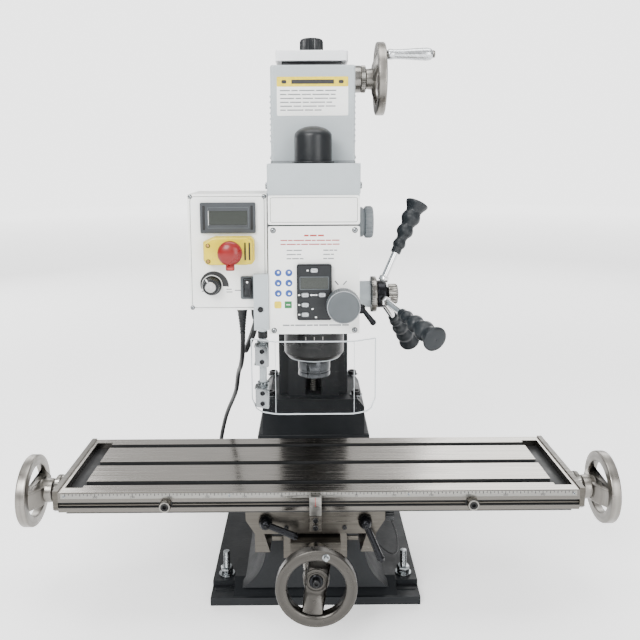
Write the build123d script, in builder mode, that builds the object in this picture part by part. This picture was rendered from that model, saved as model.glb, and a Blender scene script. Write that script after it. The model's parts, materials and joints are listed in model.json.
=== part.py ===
"""Bench-top vertical milling machine, as an assembly of separate pieces.

Frame: millimetres, X to the operator's right, Y away from the operator, Z up.
The origin is the centre of the base casting's underside.
"""
from build123d import *
import math
import os

os.makedirs("parts", exist_ok=True)

# ---------------------------------------------------------------- driving dimensions
BASE_WIDTH = 304
BASE_LENGTH = 390
BASE_HALF = BASE_LENGTH / 2
PLATE_HEIGHT = 12          # lip of the base along its front edge
STRIP_HEIGHT = 20          # side strips that carry the hold-down studs
DECK_HEIGHT = 26
DECK_HALF = 119
WAY_FLOOR = 104            # flat that the saddle's legs slide on
WAY_TOP = 130.7
PEDESTAL_TOP = 167
STUD_X, STUD_FRONT, STUD_REAR = 133, -147, 150

SPINDLE_Y = -157           # spindle axis, straight above X = 0
TABLE_LENGTH, TABLE_WIDTH = 700, 180
TABLE_X = 5                # the table stands 5 mm right of the middle
TABLE_FRONT = SPINDLE_Y - TABLE_WIDTH / 2
TABLE_BACK = SPINDLE_Y + TABLE_WIDTH / 2
TABLE_BOTTOM, TABLE_TOP = 172, 200
SLOT_PITCH, SLOT_MOUTH, SLOT_TEE = 63, 12, 20

SADDLE_TOP = 171.7
SADDLE_FRONT, SADDLE_BACK = -232, -72
X_SCREW_Z, Y_SCREW_Z = 160, 113
BRACKET_FRONT = -250        # front of the cross screw's bearing block
SCREW_RADIUS = 7
RUNNING = 0.06             # radial clearance of a shaft in its bearing
GAP = 0.3                  # clearance between sliding faces

COLUMN_HALF = 60
COLUMN_FRONT, COLUMN_BACK = 60, 165
DOVETAIL_FRONT = 45
COLUMN_TOP = 792
Z_SCREW_Y = 66
Z_SCREW_RADIUS = 9
Z_CRANK_HEIGHT = 773
HANDLE_Y = Z_SCREW_Y - 30        # crank handle on the lifting wheel
HANDLE_Z = Z_CRANK_HEIGHT + 36

TILT_HEIGHT = 490
HEAD_HALF = 60
HEAD_FRONT = -222
PLATE_FRONT = -225
HEAD_BOTTOM, HEAD_TOP = 410, 635
DECK_REAR = -30             # the motor deck ends just in front of the carriage
QUILL_RADIUS = 30
QUILL_BOTTOM, QUILL_TOP = 362, 540
FEED_Y, FEED_Z = -119, 443
FEED_REACH, FEED_END_X = 126, 152

PANEL_FRONT = -215
WHEEL_RADIUS = 51
CABLE = 7                  # diameter of the mains lead


# ---------------------------------------------------------------- shared helpers
def keep(piece, name):
    """Label a finished piece and write its STEP file."""
    piece.part.label = name
    export_step(piece.part, f"parts/{name}.step")


def block(low, high, mode=Mode.ADD):
    """A box between two opposite corners."""
    size = [b - a for a, b in zip(low, high)]
    middle = tuple((a + b) / 2 for a, b in zip(low, high))
    with Locations(middle):
        Box(*size, mode=mode)


def rod(start, direction, radius, length, mode=Mode.ADD):
    """A cylinder from a point along a direction."""
    with BuildSketch(Plane(origin=start, z_dir=direction)) as section:
        Circle(radius)
    extrude(section.sketch, amount=length, mode=mode)


def hexagon(start, direction, radius, length, mode=Mode.ADD):
    """A hexagonal prism: a nut or a bolt head."""
    with BuildSketch(Plane(origin=start, z_dir=direction)) as section:
        RegularPolygon(radius, 6)
    extrude(section.sketch, amount=length, mode=mode)


def turned(outline, origin, axis, radial, mode=Mode.ADD):
    """A turned shape; its outline is (radius, distance along the axis) points."""
    across = Vector(*radial).cross(Vector(*axis))
    with BuildSketch(Plane(origin=origin, x_dir=radial, z_dir=across)) as section:
        Polygon(*outline, align=None)
    revolve(section.sketch, axis=Axis(origin, axis), mode=mode)


def prism(outline, plane, depth, mode=Mode.ADD):
    """A flat outline on a plane, extruded along the plane's normal."""
    with BuildSketch(plane) as section:
        Polygon(*outline, align=None)
    extrude(section.sketch, amount=depth, mode=mode)


def front_plane(y):
    """A plane seen from the front: local x is X, local y is Z, and it extrudes towards +Y."""
    return Plane(origin=(0, y, 0), x_dir=(-1, 0, 0), z_dir=(0, 1, 0))


def mirrored(points):
    """The points of one half of an outline, followed by the other half."""
    return points + [(-x, y) for x, y in reversed(points)]


# ---------------------------------------------------------------- base and column
def base_casting():
    """The foot: plate, deck, Y ways, and the pedestal that carries the column."""
    with BuildPart() as base:
        block((-BASE_WIDTH / 2, -BASE_HALF, 0), (BASE_WIDTH / 2, BASE_HALF, PLATE_HEIGHT))
        for side in (-1, 1):
            inner, outer = sorted((side * DECK_HALF, side * BASE_WIDTH / 2))
            block((inner, -165, PLATE_HEIGHT), (outer, BASE_HALF, STRIP_HEIGHT))
        deck = [(-191, PLATE_HEIGHT), (-163, DECK_HEIGHT), (192, DECK_HEIGHT), (192, PLATE_HEIGHT)]
        prism(deck, Plane(origin=(-DECK_HALF, 0, 0), x_dir=(0, 1, 0), z_dir=(1, 0, 0)), 2 * DECK_HALF)
        with BuildSketch(front_plane(-189)) as flanks:
            with BuildLine():
                Polyline((74, WAY_FLOOR), (-74, WAY_FLOOR))
                ThreePointArc((-74, WAY_FLOOR), (-78, 55), (-106, DECK_HEIGHT - 2))
                Polyline((-106, DECK_HEIGHT - 2), (106, DECK_HEIGHT - 2))
                ThreePointArc((106, DECK_HEIGHT - 2), (78, 55), (74, WAY_FLOOR))
            make_face()
        extrude(flanks.sketch, amount=225)
        way = mirrored([(62, WAY_FLOOR - 1), (62, WAY_FLOOR), (70, WAY_TOP)])
        prism(way, front_plane(-189), 225)
        block((-97, 30, DECK_HEIGHT - 2), (97, 190, PEDESTAL_TOP))
        fillet(base.faces().filter_by(Axis.Z).sort_by(Axis.Z)[-1].edges(), 3)
        block((-19, -190, 97), (19, 24, WAY_TOP + 1), mode=Mode.SUBTRACT)
        block((-60, -160, -1), (60, -14, 84), mode=Mode.SUBTRACT)
        block((-60, 14, -1), (60, 50, 84), mode=Mode.SUBTRACT)
        block((-78, 45, -1), (78, 175, 152), mode=Mode.SUBTRACT)
        for x in (-STUD_X, STUD_X):
            for y in (STUD_FRONT, STUD_REAR):
                rod((x, y, -1), (0, 0, 1), 6, STRIP_HEIGHT + 2, mode=Mode.SUBTRACT)
        for x in (-30, 30):
            rod((x, -190, 88), (0, 1, 0), 4, 14, mode=Mode.SUBTRACT)
        rod((0, -190, Y_SCREW_Z), (0, 1, 0), 9, 230, mode=Mode.SUBTRACT)
    keep(base, "base_casting")


def column_casting():
    """Box column with its foot, the front dovetail, and the channel for the lifting screw."""
    with BuildPart() as column:
        block((-88, 30, PEDESTAL_TOP), (88, 186, 216))
        foot = mirrored([(88, 216), (76, 230)])
        prism(foot, front_plane(30), 156)
        block((-COLUMN_HALF, COLUMN_FRONT, 220), (COLUMN_HALF, COLUMN_BACK, COLUMN_TOP))
        fillet(column.edges().filter_by(Axis.Z).group_by(Axis.Y)[-1], 8)
        way = [(44, DOVETAIL_FRONT), (36, COLUMN_FRONT), (36, COLUMN_FRONT + 1)]
        prism(mirrored(way), Plane.XY.offset(229), COLUMN_TOP - 229)
        block((-14, 40, 233), (14, 82, COLUMN_TOP + 1), mode=Mode.SUBTRACT)
        block((-44, 94, 160), (44, 153, 780), mode=Mode.SUBTRACT)
        rod((0, Z_SCREW_Y, Z_CRANK_HEIGHT), (1, 0, 0), 14, 70, mode=Mode.SUBTRACT)
        for x in (-75, 75):
            for y in (52, 170):
                rod((x, y, 160), (0, 0, 1), 6.5, 80, mode=Mode.SUBTRACT)
        block((-45, 60, COLUMN_TOP), (45, 150, 801))
        rod((0, Z_SCREW_Y, 780), (0, 0, 1), 12, 30, mode=Mode.SUBTRACT)
    keep(column, "column_casting")


def column_bolts():
    """Four cap screws that hold the column's foot to the pedestal."""
    with BuildPart() as bolts:
        for x in (-75, 75):
            for y in (52, 170):
                rod((x, y, PEDESTAL_TOP), (0, 0, 1), 6, 63.5)
                hexagon((x, y, 230.5), (0, 0, 1), 10, 8)
    keep(bolts, "column_bolts")


def gear_housing():
    """White cap over the bevel gears, and the flanged bearing of the lifting crank."""
    with BuildPart() as housing:
        block((-60, 45, 801.2), (60, 166, 818))
        fillet(housing.edges().filter_by(Axis.Z), 6)
        fillet(housing.faces().sort_by(Axis.Z)[-1].edges(), 2)
        rod((0, Z_SCREW_Y, 800), (0, 0, 1), 10, 12, mode=Mode.SUBTRACT)
        rod((COLUMN_HALF + 0.2, Z_SCREW_Y, Z_CRANK_HEIGHT), (1, 0, 0), 23, 5)
        rod((40, Z_SCREW_Y, Z_CRANK_HEIGHT), (1, 0, 0), 13.9, 24)
        rod((39, Z_SCREW_Y, Z_CRANK_HEIGHT), (1, 0, 0), 8 + RUNNING, 30, mode=Mode.SUBTRACT)
    keep(housing, "gear_housing")


def dust_cap():
    """Black moulded cap over the top end of the lifting screw."""
    with BuildPart() as cap:
        outline = [(0, 818), (25, 818), (25, 821), (20.5, 824), (20.5, 840), (17, 845), (0, 846)]
        turned(outline, (0, 105, 0), (0, 0, 1), (1, 0, 0))
        block((-31, 98, 818), (31, 112, 821))
    keep(cap, "dust_cap")


def hold_down_studs():
    """Four studs with a washer and a nut each, through the base's side strips."""
    with BuildPart() as studs:
        for x in (-STUD_X, STUD_X):
            for y in (STUD_FRONT, STUD_REAR):
                rod((x, y, 0.5), (0, 0, 1), 5, 57)
                rod((x, y, STRIP_HEIGHT), (0, 0, 1), 12, 2.5)
                hexagon((x, y, STRIP_HEIGHT + 2.5), (0, 0, 1), 9.8, 9)
    keep(studs, "hold_down_studs")


def y_screw_bracket():
    """Bearing bracket of the cross screw, bolted to the front of the base."""
    with BuildPart() as bracket:
        plate = mirrored([(45, 78), (45, 112), (34, 128)])
        prism(plate, front_plane(-203), 14)
        block((-34, BRACKET_FRONT, 98), (34, -200, 128))
        rod((0, BRACKET_FRONT - 1, Y_SCREW_Z), (0, 1, 0), SCREW_RADIUS + RUNNING, 70, mode=Mode.SUBTRACT)
        for x in (-30, 30):
            rod((x, -203.5, 88), (0, 1, 0), 5, 5, mode=Mode.SUBTRACT)
    keep(bracket, "y_screw_bracket")


# ---------------------------------------------------------------- saddle
def saddle_casting():
    """The saddle: Y ways below, the X dovetail on top, and a trough for the X screw."""
    with BuildPart() as saddle:
        outline = [(95.5, SADDLE_TOP), (95.5, 151), (83, 131), (83, WAY_FLOOR + GAP)]
        outline += [(62.4, WAY_FLOOR + GAP), (70.4, WAY_TOP + GAP)]
        prism(mirrored(outline), front_plane(SADDLE_FRONT), SADDLE_BACK - SADDLE_FRONT)
        middle = SPINDLE_Y
        tail = [(middle - 40, SADDLE_TOP - 1), (middle - 44, 179.7)]
        tail += [(middle + 44, 179.7), (middle + 40, SADDLE_TOP - 1)]
        prism(tail, Plane(origin=(-95.5, 0, 0), x_dir=(0, 1, 0), z_dir=(1, 0, 0)), 191)
        block((-100, middle - 14, 147), (100, middle + 14, 185), mode=Mode.SUBTRACT)
        for x in (-6, 6):
            rod((x, SADDLE_FRONT - 1, 150), (0, 1, 0), 2.5, 12, mode=Mode.SUBTRACT)
        for x in (-68, 68):
            rod((x, SADDLE_FRONT - 1, 150), (0, 1, 0), 5 + RUNNING, 14, mode=Mode.SUBTRACT)
    keep(saddle, "saddle_casting")


def feed_nuts():
    """Bronze nuts of the X and Y screws, both bolted to the saddle."""
    with BuildPart() as nuts:
        middle = SPINDLE_Y
        block((-16, middle - 13, 147), (16, middle + 13, 171))
        rod((-17, middle, X_SCREW_Z), (1, 0, 0), SCREW_RADIUS + RUNNING, 34, mode=Mode.SUBTRACT)
        block((-15, -120, 101), (15, -90, WAY_TOP + GAP))
        rod((0, -121, Y_SCREW_Z), (0, 1, 0), SCREW_RADIUS + RUNNING, 32, mode=Mode.SUBTRACT)
    keep(nuts, "feed_nuts")


def pointer_block():
    """Block on the saddle's front that carries the index line and meets the table's stops."""
    with BuildPart() as pointer:
        block((-8, -258, 148), (8, SADDLE_FRONT, 170))
        block((-8, -258, 169), (8, -248.5, 197))
        chamfer(pointer.edges().filter_by(Axis.X).sort_by(Axis.Z)[-1], 2)
        for z in (154, 164):
            rod((0, -259, z), (0, 1, 0), 3, 5, mode=Mode.SUBTRACT)
    keep(pointer, "pointer_block")


def saddle_lever(name, x, tip_x, tip_z):
    """A clamp lever of the saddle: threaded hub and a round handle."""
    hub_z = 150
    length = math.hypot(tip_x - x, tip_z - hub_z)
    with BuildPart() as lever:
        rod((x, SADDLE_FRONT + 10, hub_z), (0, -1, 0), 5, 12)
        rod((x, SADDLE_FRONT - 1, hub_z), (0, -1, 0), 8, 15)
        rod((x, SADDLE_FRONT - 11, hub_z), (tip_x - x, -6, tip_z - hub_z), 4.5, length)
        fillet(lever.faces().sort_by(Axis.Z)[0].edges(), 1.5)
    keep(lever, name)


# ---------------------------------------------------------------- table
def table_top():
    """T-slotted table with drain troughs at its ends and a dovetail slot underneath."""
    left, right = TABLE_X - TABLE_LENGTH / 2, TABLE_X + TABLE_LENGTH / 2
    with BuildPart() as table:
        block((left, TABLE_FRONT, TABLE_BOTTOM), (right, TABLE_BACK, TABLE_TOP))
        for k in (-1, 0, 1):
            y = SPINDLE_Y + k * SLOT_PITCH
            mouth, tee = SLOT_MOUTH / 2, SLOT_TEE / 2
            block((left + 5, y - mouth, 192), (right - 5, y + mouth, 201), mode=Mode.SUBTRACT)
            block((left + 5, y - tee, 186), (right - 5, y + tee, 192.5), mode=Mode.SUBTRACT)
        for low, high in ((left + 5, left + 29), (right - 29, right - 5)):
            block((low, TABLE_FRONT + 14, 190), (high, TABLE_BACK - 14, 201), mode=Mode.SUBTRACT)
        middle = SPINDLE_Y
        slot = [(middle - 40.4, TABLE_BOTTOM - 1), (middle - 44.5, 180)]
        slot += [(middle + 44.5, 180), (middle + 40.4, TABLE_BOTTOM - 1)]
        end_plane = Plane(origin=(left - 1, 0, 0), x_dir=(0, 1, 0), z_dir=(1, 0, 0))
        prism(slot, end_plane, TABLE_LENGTH + 2, mode=Mode.SUBTRACT)
        block((left - 1, TABLE_FRONT - 1, 178), (right + 1, TABLE_FRONT + 4, 186), mode=Mode.SUBTRACT)
        block((left - 1, TABLE_BACK - 4, 178), (right + 1, TABLE_BACK + 1, 186), mode=Mode.SUBTRACT)
    keep(table, "table_top")


def end_brackets():
    """Bearing brackets on the two ends of the table."""
    with BuildPart() as brackets:
        for side in (-1, 1):
            face = TABLE_X + side * TABLE_LENGTH / 2
            outline = [(TABLE_FRONT, 202), (TABLE_FRONT, 176), (TABLE_FRONT + 6, 171), (-185, 171)]
            outline += [(-178, 140), (-136, 140), (-129, 171), (TABLE_BACK - 6, 171)]
            outline += [(TABLE_BACK, 176), (TABLE_BACK, 202)]
            plane = Plane(origin=(face, 0, 0), x_dir=(0, side, 0), z_dir=(side, 0, 0))
            prism([(side * y, z) for y, z in outline], plane, 7)
            rod((face + side * 3, SPINDLE_Y, X_SCREW_Z), (side, 0, 0), 21, 8)
            hole = SCREW_RADIUS + RUNNING
            rod((face - side, SPINDLE_Y, X_SCREW_Z), (side, 0, 0), hole, 14, mode=Mode.SUBTRACT)
    keep(brackets, "end_brackets")


def table_stops():
    """Two stop dogs, clamped in the groove along the table's front edge."""
    with BuildPart() as stops:
        for x in (TABLE_X - 206, TABLE_X + 206):
            block((x - 9, TABLE_FRONT + 0.5, 178.5), (x + 9, TABLE_FRONT + 3.5, 185.5))
            rod((x, TABLE_FRONT + 0.5, 182), (0, -1, 0), 3, 4)
            rod((x, TABLE_FRONT, 182), (0, -1, 0), 8, 9)
            hexagon((x, TABLE_FRONT - 10, 182), (0, 1, 0), 3.4, 5, mode=Mode.SUBTRACT)
    keep(stops, "table_stops")


# ---------------------------------------------------------------- screws, dials and wheels
def wheel(centre, out, along, radius, hub_length, dish, bore):
    """A handwheel with a broad flat rim and a dished two-spoke bar, added to the current part.

    out is the direction that the wheel faces, along is the direction of its spokes, and dish is
    how far the hub's end of the bar lies behind the rim.
    """
    inner = radius * 0.72
    rim = [(inner, -6), (inner, 6), (inner + 1, 7), (radius - 2, 7)]
    rim += [(radius, 5), (radius, -5), (radius - 2, -7), (inner + 1, -7)]
    turned(rim, centre, out, along)
    bar = [(-inner - 1, -4), (-inner - 1, 3), (-18, 3 - dish), (18, 3 - dish), (inner + 1, 3)]
    bar += [(inner + 1, -4), (18, -4 - dish), (-18, -4 - dish)]
    across = Vector(*along).cross(Vector(*out))
    half_bar = 0.26 * radius
    bar_plane = Plane(origin=Vector(*centre) - across * half_bar, x_dir=along, z_dir=across)
    prism(bar, bar_plane, 2 * half_bar)
    face = 4 - dish
    turned([(0, -hub_length), (15, -hub_length), (17, face - 4), (15, face), (0, face)], centre, out, along)
    back = Vector(*centre) - Vector(*out) * (hub_length + 1)
    rod(back, out, bore, hub_length - dish + 2, mode=Mode.SUBTRACT)


def dial(centre, out, along, radius, length, bore):
    """A graduated collar on a shaft, added to the current part."""
    outline = [(bore, 0), (radius, 0), (radius, length - 4), (radius - 3, length), (bore, length)]
    turned(outline, centre, out, along)


def x_leadscrew():
    """The table's screw, held in both end brackets."""
    with BuildPart() as screw:
        low, high = TABLE_X - 401, TABLE_X + 401
        rod((low, SPINDLE_Y, X_SCREW_Z), (1, 0, 0), SCREW_RADIUS, high - low)
    keep(screw, "x_leadscrew")


def x_handwheels():
    """The two wheels at the ends of the table."""
    with BuildPart() as wheels:
        for side in (-1, 1):
            centre = (TABLE_X + side * 419, SPINDLE_Y, X_SCREW_Z)
            wheel(centre, (side, 0, 0), (0, 0.6, 0.8), WHEEL_RADIUS, 32, 18, SCREW_RADIUS)
    keep(wheels, "x_handwheels")


def x_dials():
    """Graduated collars behind the two table wheels."""
    with BuildPart() as dials:
        for side in (-1, 1):
            face = TABLE_X + side * (TABLE_LENGTH / 2 + 11.4)
            dial((face, SPINDLE_Y, X_SCREW_Z), (side, 0, 0), (0, 0, 1), 22, 22, SCREW_RADIUS)
    keep(dials, "x_dials")


def y_leadscrew():
    """The cross screw below the saddle."""
    with BuildPart() as screw:
        rod((0, 20, Y_SCREW_Z), (0, -1, 0), SCREW_RADIUS, 329)
    keep(screw, "y_leadscrew")


def handwheel_front():
    """The cross feed's wheel, with the stub that its crank handle screws into."""
    with BuildPart() as front:
        spokes = (0.14, 0, 0.99)
        wheel((0, -325, Y_SCREW_Z), (0, -1, 0), spokes, WHEEL_RADIUS, 22, 16, SCREW_RADIUS)
        rod((12, -330, Y_SCREW_Z + 43), (0, -1, 0), 3.6, 8)
    keep(front, "handwheel_front")


def y_dial():
    """Graduated collar of the cross screw; it passes below the saddle."""
    with BuildPart() as collar:
        dial((0, BRACKET_FRONT - 0.4, Y_SCREW_Z), (0, -1, 0), (0, 0, 1), 17, 50, SCREW_RADIUS)
    keep(collar, "y_dial")


def z_leadscrew():
    """The lifting screw in the column, with the bevel gear at its top."""
    with BuildPart() as screw:
        rod((0, Z_SCREW_Y, 236), (0, 0, 1), Z_SCREW_RADIUS, 570)
        bevel = [(0, 786), (12, 786), (8, 779), (0, 779)]
        turned(bevel, (0, Z_SCREW_Y, 0), (0, 0, 1), (1, 0, 0))
    keep(screw, "z_leadscrew")


def z_crank_shaft():
    """Cross shaft that turns the lifting screw, with its bevel pinion."""
    with BuildPart() as shaft:
        rod((12.5, Z_SCREW_Y, Z_CRANK_HEIGHT), (1, 0, 0), 8, 92)
    keep(shaft, "z_crank_shaft")


def z_dial():
    """Graduated collar of the lifting crank."""
    with BuildPart() as collar:
        dial((COLUMN_HALF + 6, Z_SCREW_Y, Z_CRANK_HEIGHT), (1, 0, 0), (0, 0, 1), 22.5, 24, 8)
    keep(collar, "z_dial")


def z_handwheel():
    """The lifting crank's wheel."""
    with BuildPart() as lifter:
        spokes = (0, 30 / math.hypot(30, 36), -36 / math.hypot(30, 36))
        wheel((114, Z_SCREW_Y, Z_CRANK_HEIGHT), (1, 0, 0), spokes, 60, 24, 10, 8)
        rod((112, HANDLE_Y, HANDLE_Z), (1, 0, 0), 8, 11)
        rod((120, HANDLE_Y, HANDLE_Z), (1, 0, 0), 4, 79)
        rod((197, HANDLE_Y, HANDLE_Z), (1, 0, 0), 6, 3)
    keep(lifter, "z_handwheel")


def z_crank_handle():
    """Free-turning handle on the lifting wheel."""
    with BuildPart() as handle:
        outline = [(4.1, 123.4), (8.5, 123.4), (9.6, 130), (10.4, 155), (9.4, 190), (7.5, 196.6)]
        outline += [(4.1, 196.6)]
        turned(outline, (0, HANDLE_Y, HANDLE_Z), (1, 0, 0), (0, 0, 1))
    keep(handle, "z_crank_handle")


# ---------------------------------------------------------------- carriage
def z_carriage():
    """Slide on the column's dovetail, with the round face that the head tilts on."""
    with BuildPart() as carriage:
        outline = [(64, -28), (64, COLUMN_FRONT - 0.4), (36.4, COLUMN_FRONT - 0.4)]
        outline += [(44.4, DOVETAIL_FRONT - 0.4)]
        prism(mirrored(outline), Plane.XY.offset(400), 190)
        rod((0, -27, TILT_HEIGHT), (0, -1, 0), 63, 13)
        with BuildSketch(front_plane(-41)) as groove:
            with Locations((0, TILT_HEIGHT)):
                Circle(57)
                Circle(45, mode=Mode.SUBTRACT)
        extrude(groove.sketch, amount=11, mode=Mode.SUBTRACT)
    keep(carriage, "z_carriage")


def z_nut():
    """Bronze nut of the lifting screw, bolted into the carriage."""
    with BuildPart() as nut:
        block((-12, DOVETAIL_FRONT - 0.4, 470), (12, 79, 510))
        rod((0, Z_SCREW_Y, 469), (0, 0, 1), Z_SCREW_RADIUS + RUNNING, 42, mode=Mode.SUBTRACT)
    keep(nut, "z_nut")


# ---------------------------------------------------------------- head
def head_casting():
    """Head: spindle housing, rear tilt flange, and the deck under the motor."""
    with BuildPart() as head:
        block((-61, HEAD_FRONT, 596), (61, DECK_REAR, HEAD_TOP))
        fillet(head.edges().filter_by(Axis.Z), 2)
        block((-HEAD_HALF, HEAD_FRONT, HEAD_BOTTOM), (HEAD_HALF, -70, 619))
        rod((0, -71, TILT_HEIGHT), (0, 1, 0), 40, 17)
        rod((0, -56, TILT_HEIGHT), (0, 1, 0), 62, 15.7)
        boss = [(0, 412), (42, 412), (42, 369), (37, 362), (0, 362)]
        turned(boss, (0, SPINDLE_Y, 0), (0, 0, 1), (1, 0, 0))
        rod((0, SPINDLE_Y, 361), (0, 0, 1), QUILL_RADIUS + RUNNING, 239, mode=Mode.SUBTRACT)
        rod((0, SPINDLE_Y, 599), (0, 0, 1), 12, 40, mode=Mode.SUBTRACT)
        rod((HEAD_HALF - 1, FEED_Y, FEED_Z), (1, 0, 0), 19.5, 24)
        rod((-26, FEED_Y, FEED_Z), (1, 0, 0), 7.6 + RUNNING, 120, mode=Mode.SUBTRACT)
        rod((37.5, HEAD_FRONT - 1, 452), (0, 1, 0), 6 + RUNNING, 40, mode=Mode.SUBTRACT)
        rod((30, -157, 553), (1, 0, 0), 7 + RUNNING, 40, mode=Mode.SUBTRACT)
        rod((40, -195, 437), (1, 0, 0), 4 + RUNNING, 30, mode=Mode.SUBTRACT)
        for k in (0, 1, 2):
            angle = math.radians(90 + 120 * k)
            x, z = 51 * math.cos(angle), TILT_HEIGHT + 51 * math.sin(angle)
            rod((x, -57, z), (0, 1, 0), 5.2, 20, mode=Mode.SUBTRACT)
    keep(head, "head_casting")


def tilt_bolts():
    """Three bolts that clamp the head to the carriage's ring groove."""
    with BuildPart() as bolts:
        for k in (0, 1, 2):
            angle = math.radians(90 + 120 * k)
            x, z = 51 * math.cos(angle), TILT_HEIGHT + 51 * math.sin(angle)
            rod((x, -57, z), (0, 1, 0), 5, 25)
            hexagon((x, -64, z), (0, 1, 0), 8.6, 8)
    keep(bolts, "tilt_bolts")


def motor_cover():
    """Sheet metal cover over the motor: open below."""
    with BuildPart() as cover:
        block((-60, -129, HEAD_TOP), (60, DECK_REAR, 772))
        fillet(cover.edges().filter_by(Axis.Z), 4)
        fillet(cover.faces().sort_by(Axis.Z)[-1].edges(), 3)
        block((-58, -127, HEAD_TOP - 1), (58, DECK_REAR - 2, 770), mode=Mode.SUBTRACT)
    keep(cover, "motor_cover")


def motor():
    """Spindle motor, standing on the head's deck inside its cover."""
    with BuildPart() as engine:
        outline = [(0, 635), (46, 635), (46, 641), (44, 643), (44, 742), (38, 752), (0, 752)]
        turned(outline, (0, -79.5, 0), (0, 0, 1), (1, 0, 0))
    keep(engine, "motor")


def spindle_cap():
    """Domed black cap over the top of the spindle and its drawbar."""
    with BuildPart() as cap:
        outline = [(14, 635), (26, 635), (26, 676), (23, 682), (16, 685.5), (0, 686), (0, 682), (14, 682)]
        turned(outline, (0, SPINDLE_Y, 0), (0, 0, 1), (1, 0, 0))
    keep(cap, "spindle_cap")


def front_plates():
    """The name plate and the lower front plate on the head."""
    with BuildPart() as plates:
        block((-60, PLATE_FRONT, 556), (60, HEAD_FRONT, 594))
        block((-60, PLATE_FRONT, HEAD_BOTTOM), (60, HEAD_FRONT, 554))
        fillet(plates.edges().filter_by(Axis.Y), 3)
        rod((37.5, PLATE_FRONT - 1, 452), (0, 1, 0), 7, 6, mode=Mode.SUBTRACT)
    keep(plates, "front_plates")


DRO_KEYS = ((0, 496.3), (-12, 463.7), (10.5, 463.7), (-12, 450.5), (-12, 437.5))


def dro_panel():
    """Quill depth readout: a shallow black case with pockets for its keys."""
    with BuildPart() as panel:
        block((-23, PLATE_FRONT - 6, 430), (23, PLATE_FRONT, 504.5))
        fillet(panel.edges().filter_by(Axis.Y), 3)
        block((-18.5, PLATE_FRONT - 7, 471.5), (18.5, PLATE_FRONT - 5.2, 487.5), mode=Mode.SUBTRACT)
        for x, z in DRO_KEYS:
            low, high = (x - 5.2, PLATE_FRONT - 7, z - 3.2), (x + 5.2, PLATE_FRONT - 3, z + 3.2)
            block(low, high, mode=Mode.SUBTRACT)
    keep(panel, "dro_panel")


def dro_key(number, x, z):
    """One rubber key of the depth readout."""
    with BuildPart() as key:
        block((x - 4.8, PLATE_FRONT - 7.2, z - 2.8), (x + 4.8, PLATE_FRONT - 4, z + 2.8))
        fillet(key.edges().filter_by(Axis.Y), 2.5)
    keep(key, f"dro_key_{number}")


def control_box():
    """Sheet steel electrics box on the head's left side, its front panel and display frame."""
    with BuildPart() as box:
        block((-166, PANEL_FRONT, 441), (-62, -120, 596))
        fillet(box.edges().filter_by(Axis.Y), 1.5)
        block((-163, PANEL_FRONT + 2, 444), (-65, -123, 593), mode=Mode.SUBTRACT)
        block((-62.5, -200, 480), (-60, -140, 560))
        for x, y in ((-101, -167), (-82, -163)):
            rod((x, y, 440), (0, 0, 1), 4.6, 6, mode=Mode.SUBTRACT)
        block((-149, PANEL_FRONT - 4, 545), (-77, PANEL_FRONT + 0.5, 584.5))
        block((-138, PANEL_FRONT - 5, 552.5), (-87, PANEL_FRONT - 3, 577.5), mode=Mode.SUBTRACT)
        rod((-136, PANEL_FRONT - 1, 474.5), (0, 1, 0), 3.1, 10, mode=Mode.SUBTRACT)
        block((-97, PANEL_FRONT - 1.5, 457), (-80, PANEL_FRONT + 0.5, 486))
    keep(box, "control_box")


def estop_housing():
    """Yellow housing of the emergency stop."""
    with BuildPart() as housing:
        outline = [(-145, 508), (-141, 504), (-82, 504), (-78, 508), (-78, 537), (-82, 541)]
        outline += [(-141, 541), (-145, 537)]
        prism([(-x, z) for x, z in outline], front_plane(PANEL_FRONT - 22), 22)
        chamfer(housing.faces().sort_by(Axis.Y)[0].edges(), 3)
        rod((-108, PANEL_FRONT - 23, 521.7), (0, 1, 0), 10, 19, mode=Mode.SUBTRACT)
    keep(housing, "estop_housing")


def estop_button():
    """Red mushroom push-button."""
    with BuildPart() as button:
        outline = [(0, -12), (9.5, -12), (9.5, 5), (15.5, 7), (16, 13), (12, 18), (0, 19)]
        turned(outline, (-108, PANEL_FRONT - 22, 521.7), (0, -1, 0), (0, 0, 1))
    keep(button, "estop_button")


def speed_knob():
    """Spindle speed knob."""
    with BuildPart() as knob:
        outline = [(0, -6), (3, -6), (3, 0.6), (13, 0.6), (12, 14), (10, 16), (0, 16)]
        turned(outline, (-136, PANEL_FRONT, 474.5), (0, -1, 0), (0, 0, 1))
    keep(knob, "speed_knob")


def direction_switch():
    """Forward and reverse rocker."""
    with BuildPart() as rocker:
        outline = [(-218.7, 462), (-218.7, 481), (-224, 483), (-221.5, 471.5), (-224, 460)]
        prism(outline, Plane(origin=(-93, 0, 0), x_dir=(0, 1, 0), z_dir=(1, 0, 0)), 9)
        rod((-94, -220.6, 471.5), (1, 0, 0), 1.2, 11)
    keep(rocker, "direction_switch")


def guard_bracket():
    """Bracket on the head's left side and the upright rod that the guard swings on."""
    with BuildPart() as bracket:
        block((-80, -228, 416), (-60.2, -220, 491))
        rod((-71, -229, 444), (0, 1, 0), 4, 10, mode=Mode.SUBTRACT)
        rod((-69, -224, 318), (0, 0, 1), 5, 100)
    keep(bracket, "guard_bracket")


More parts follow.
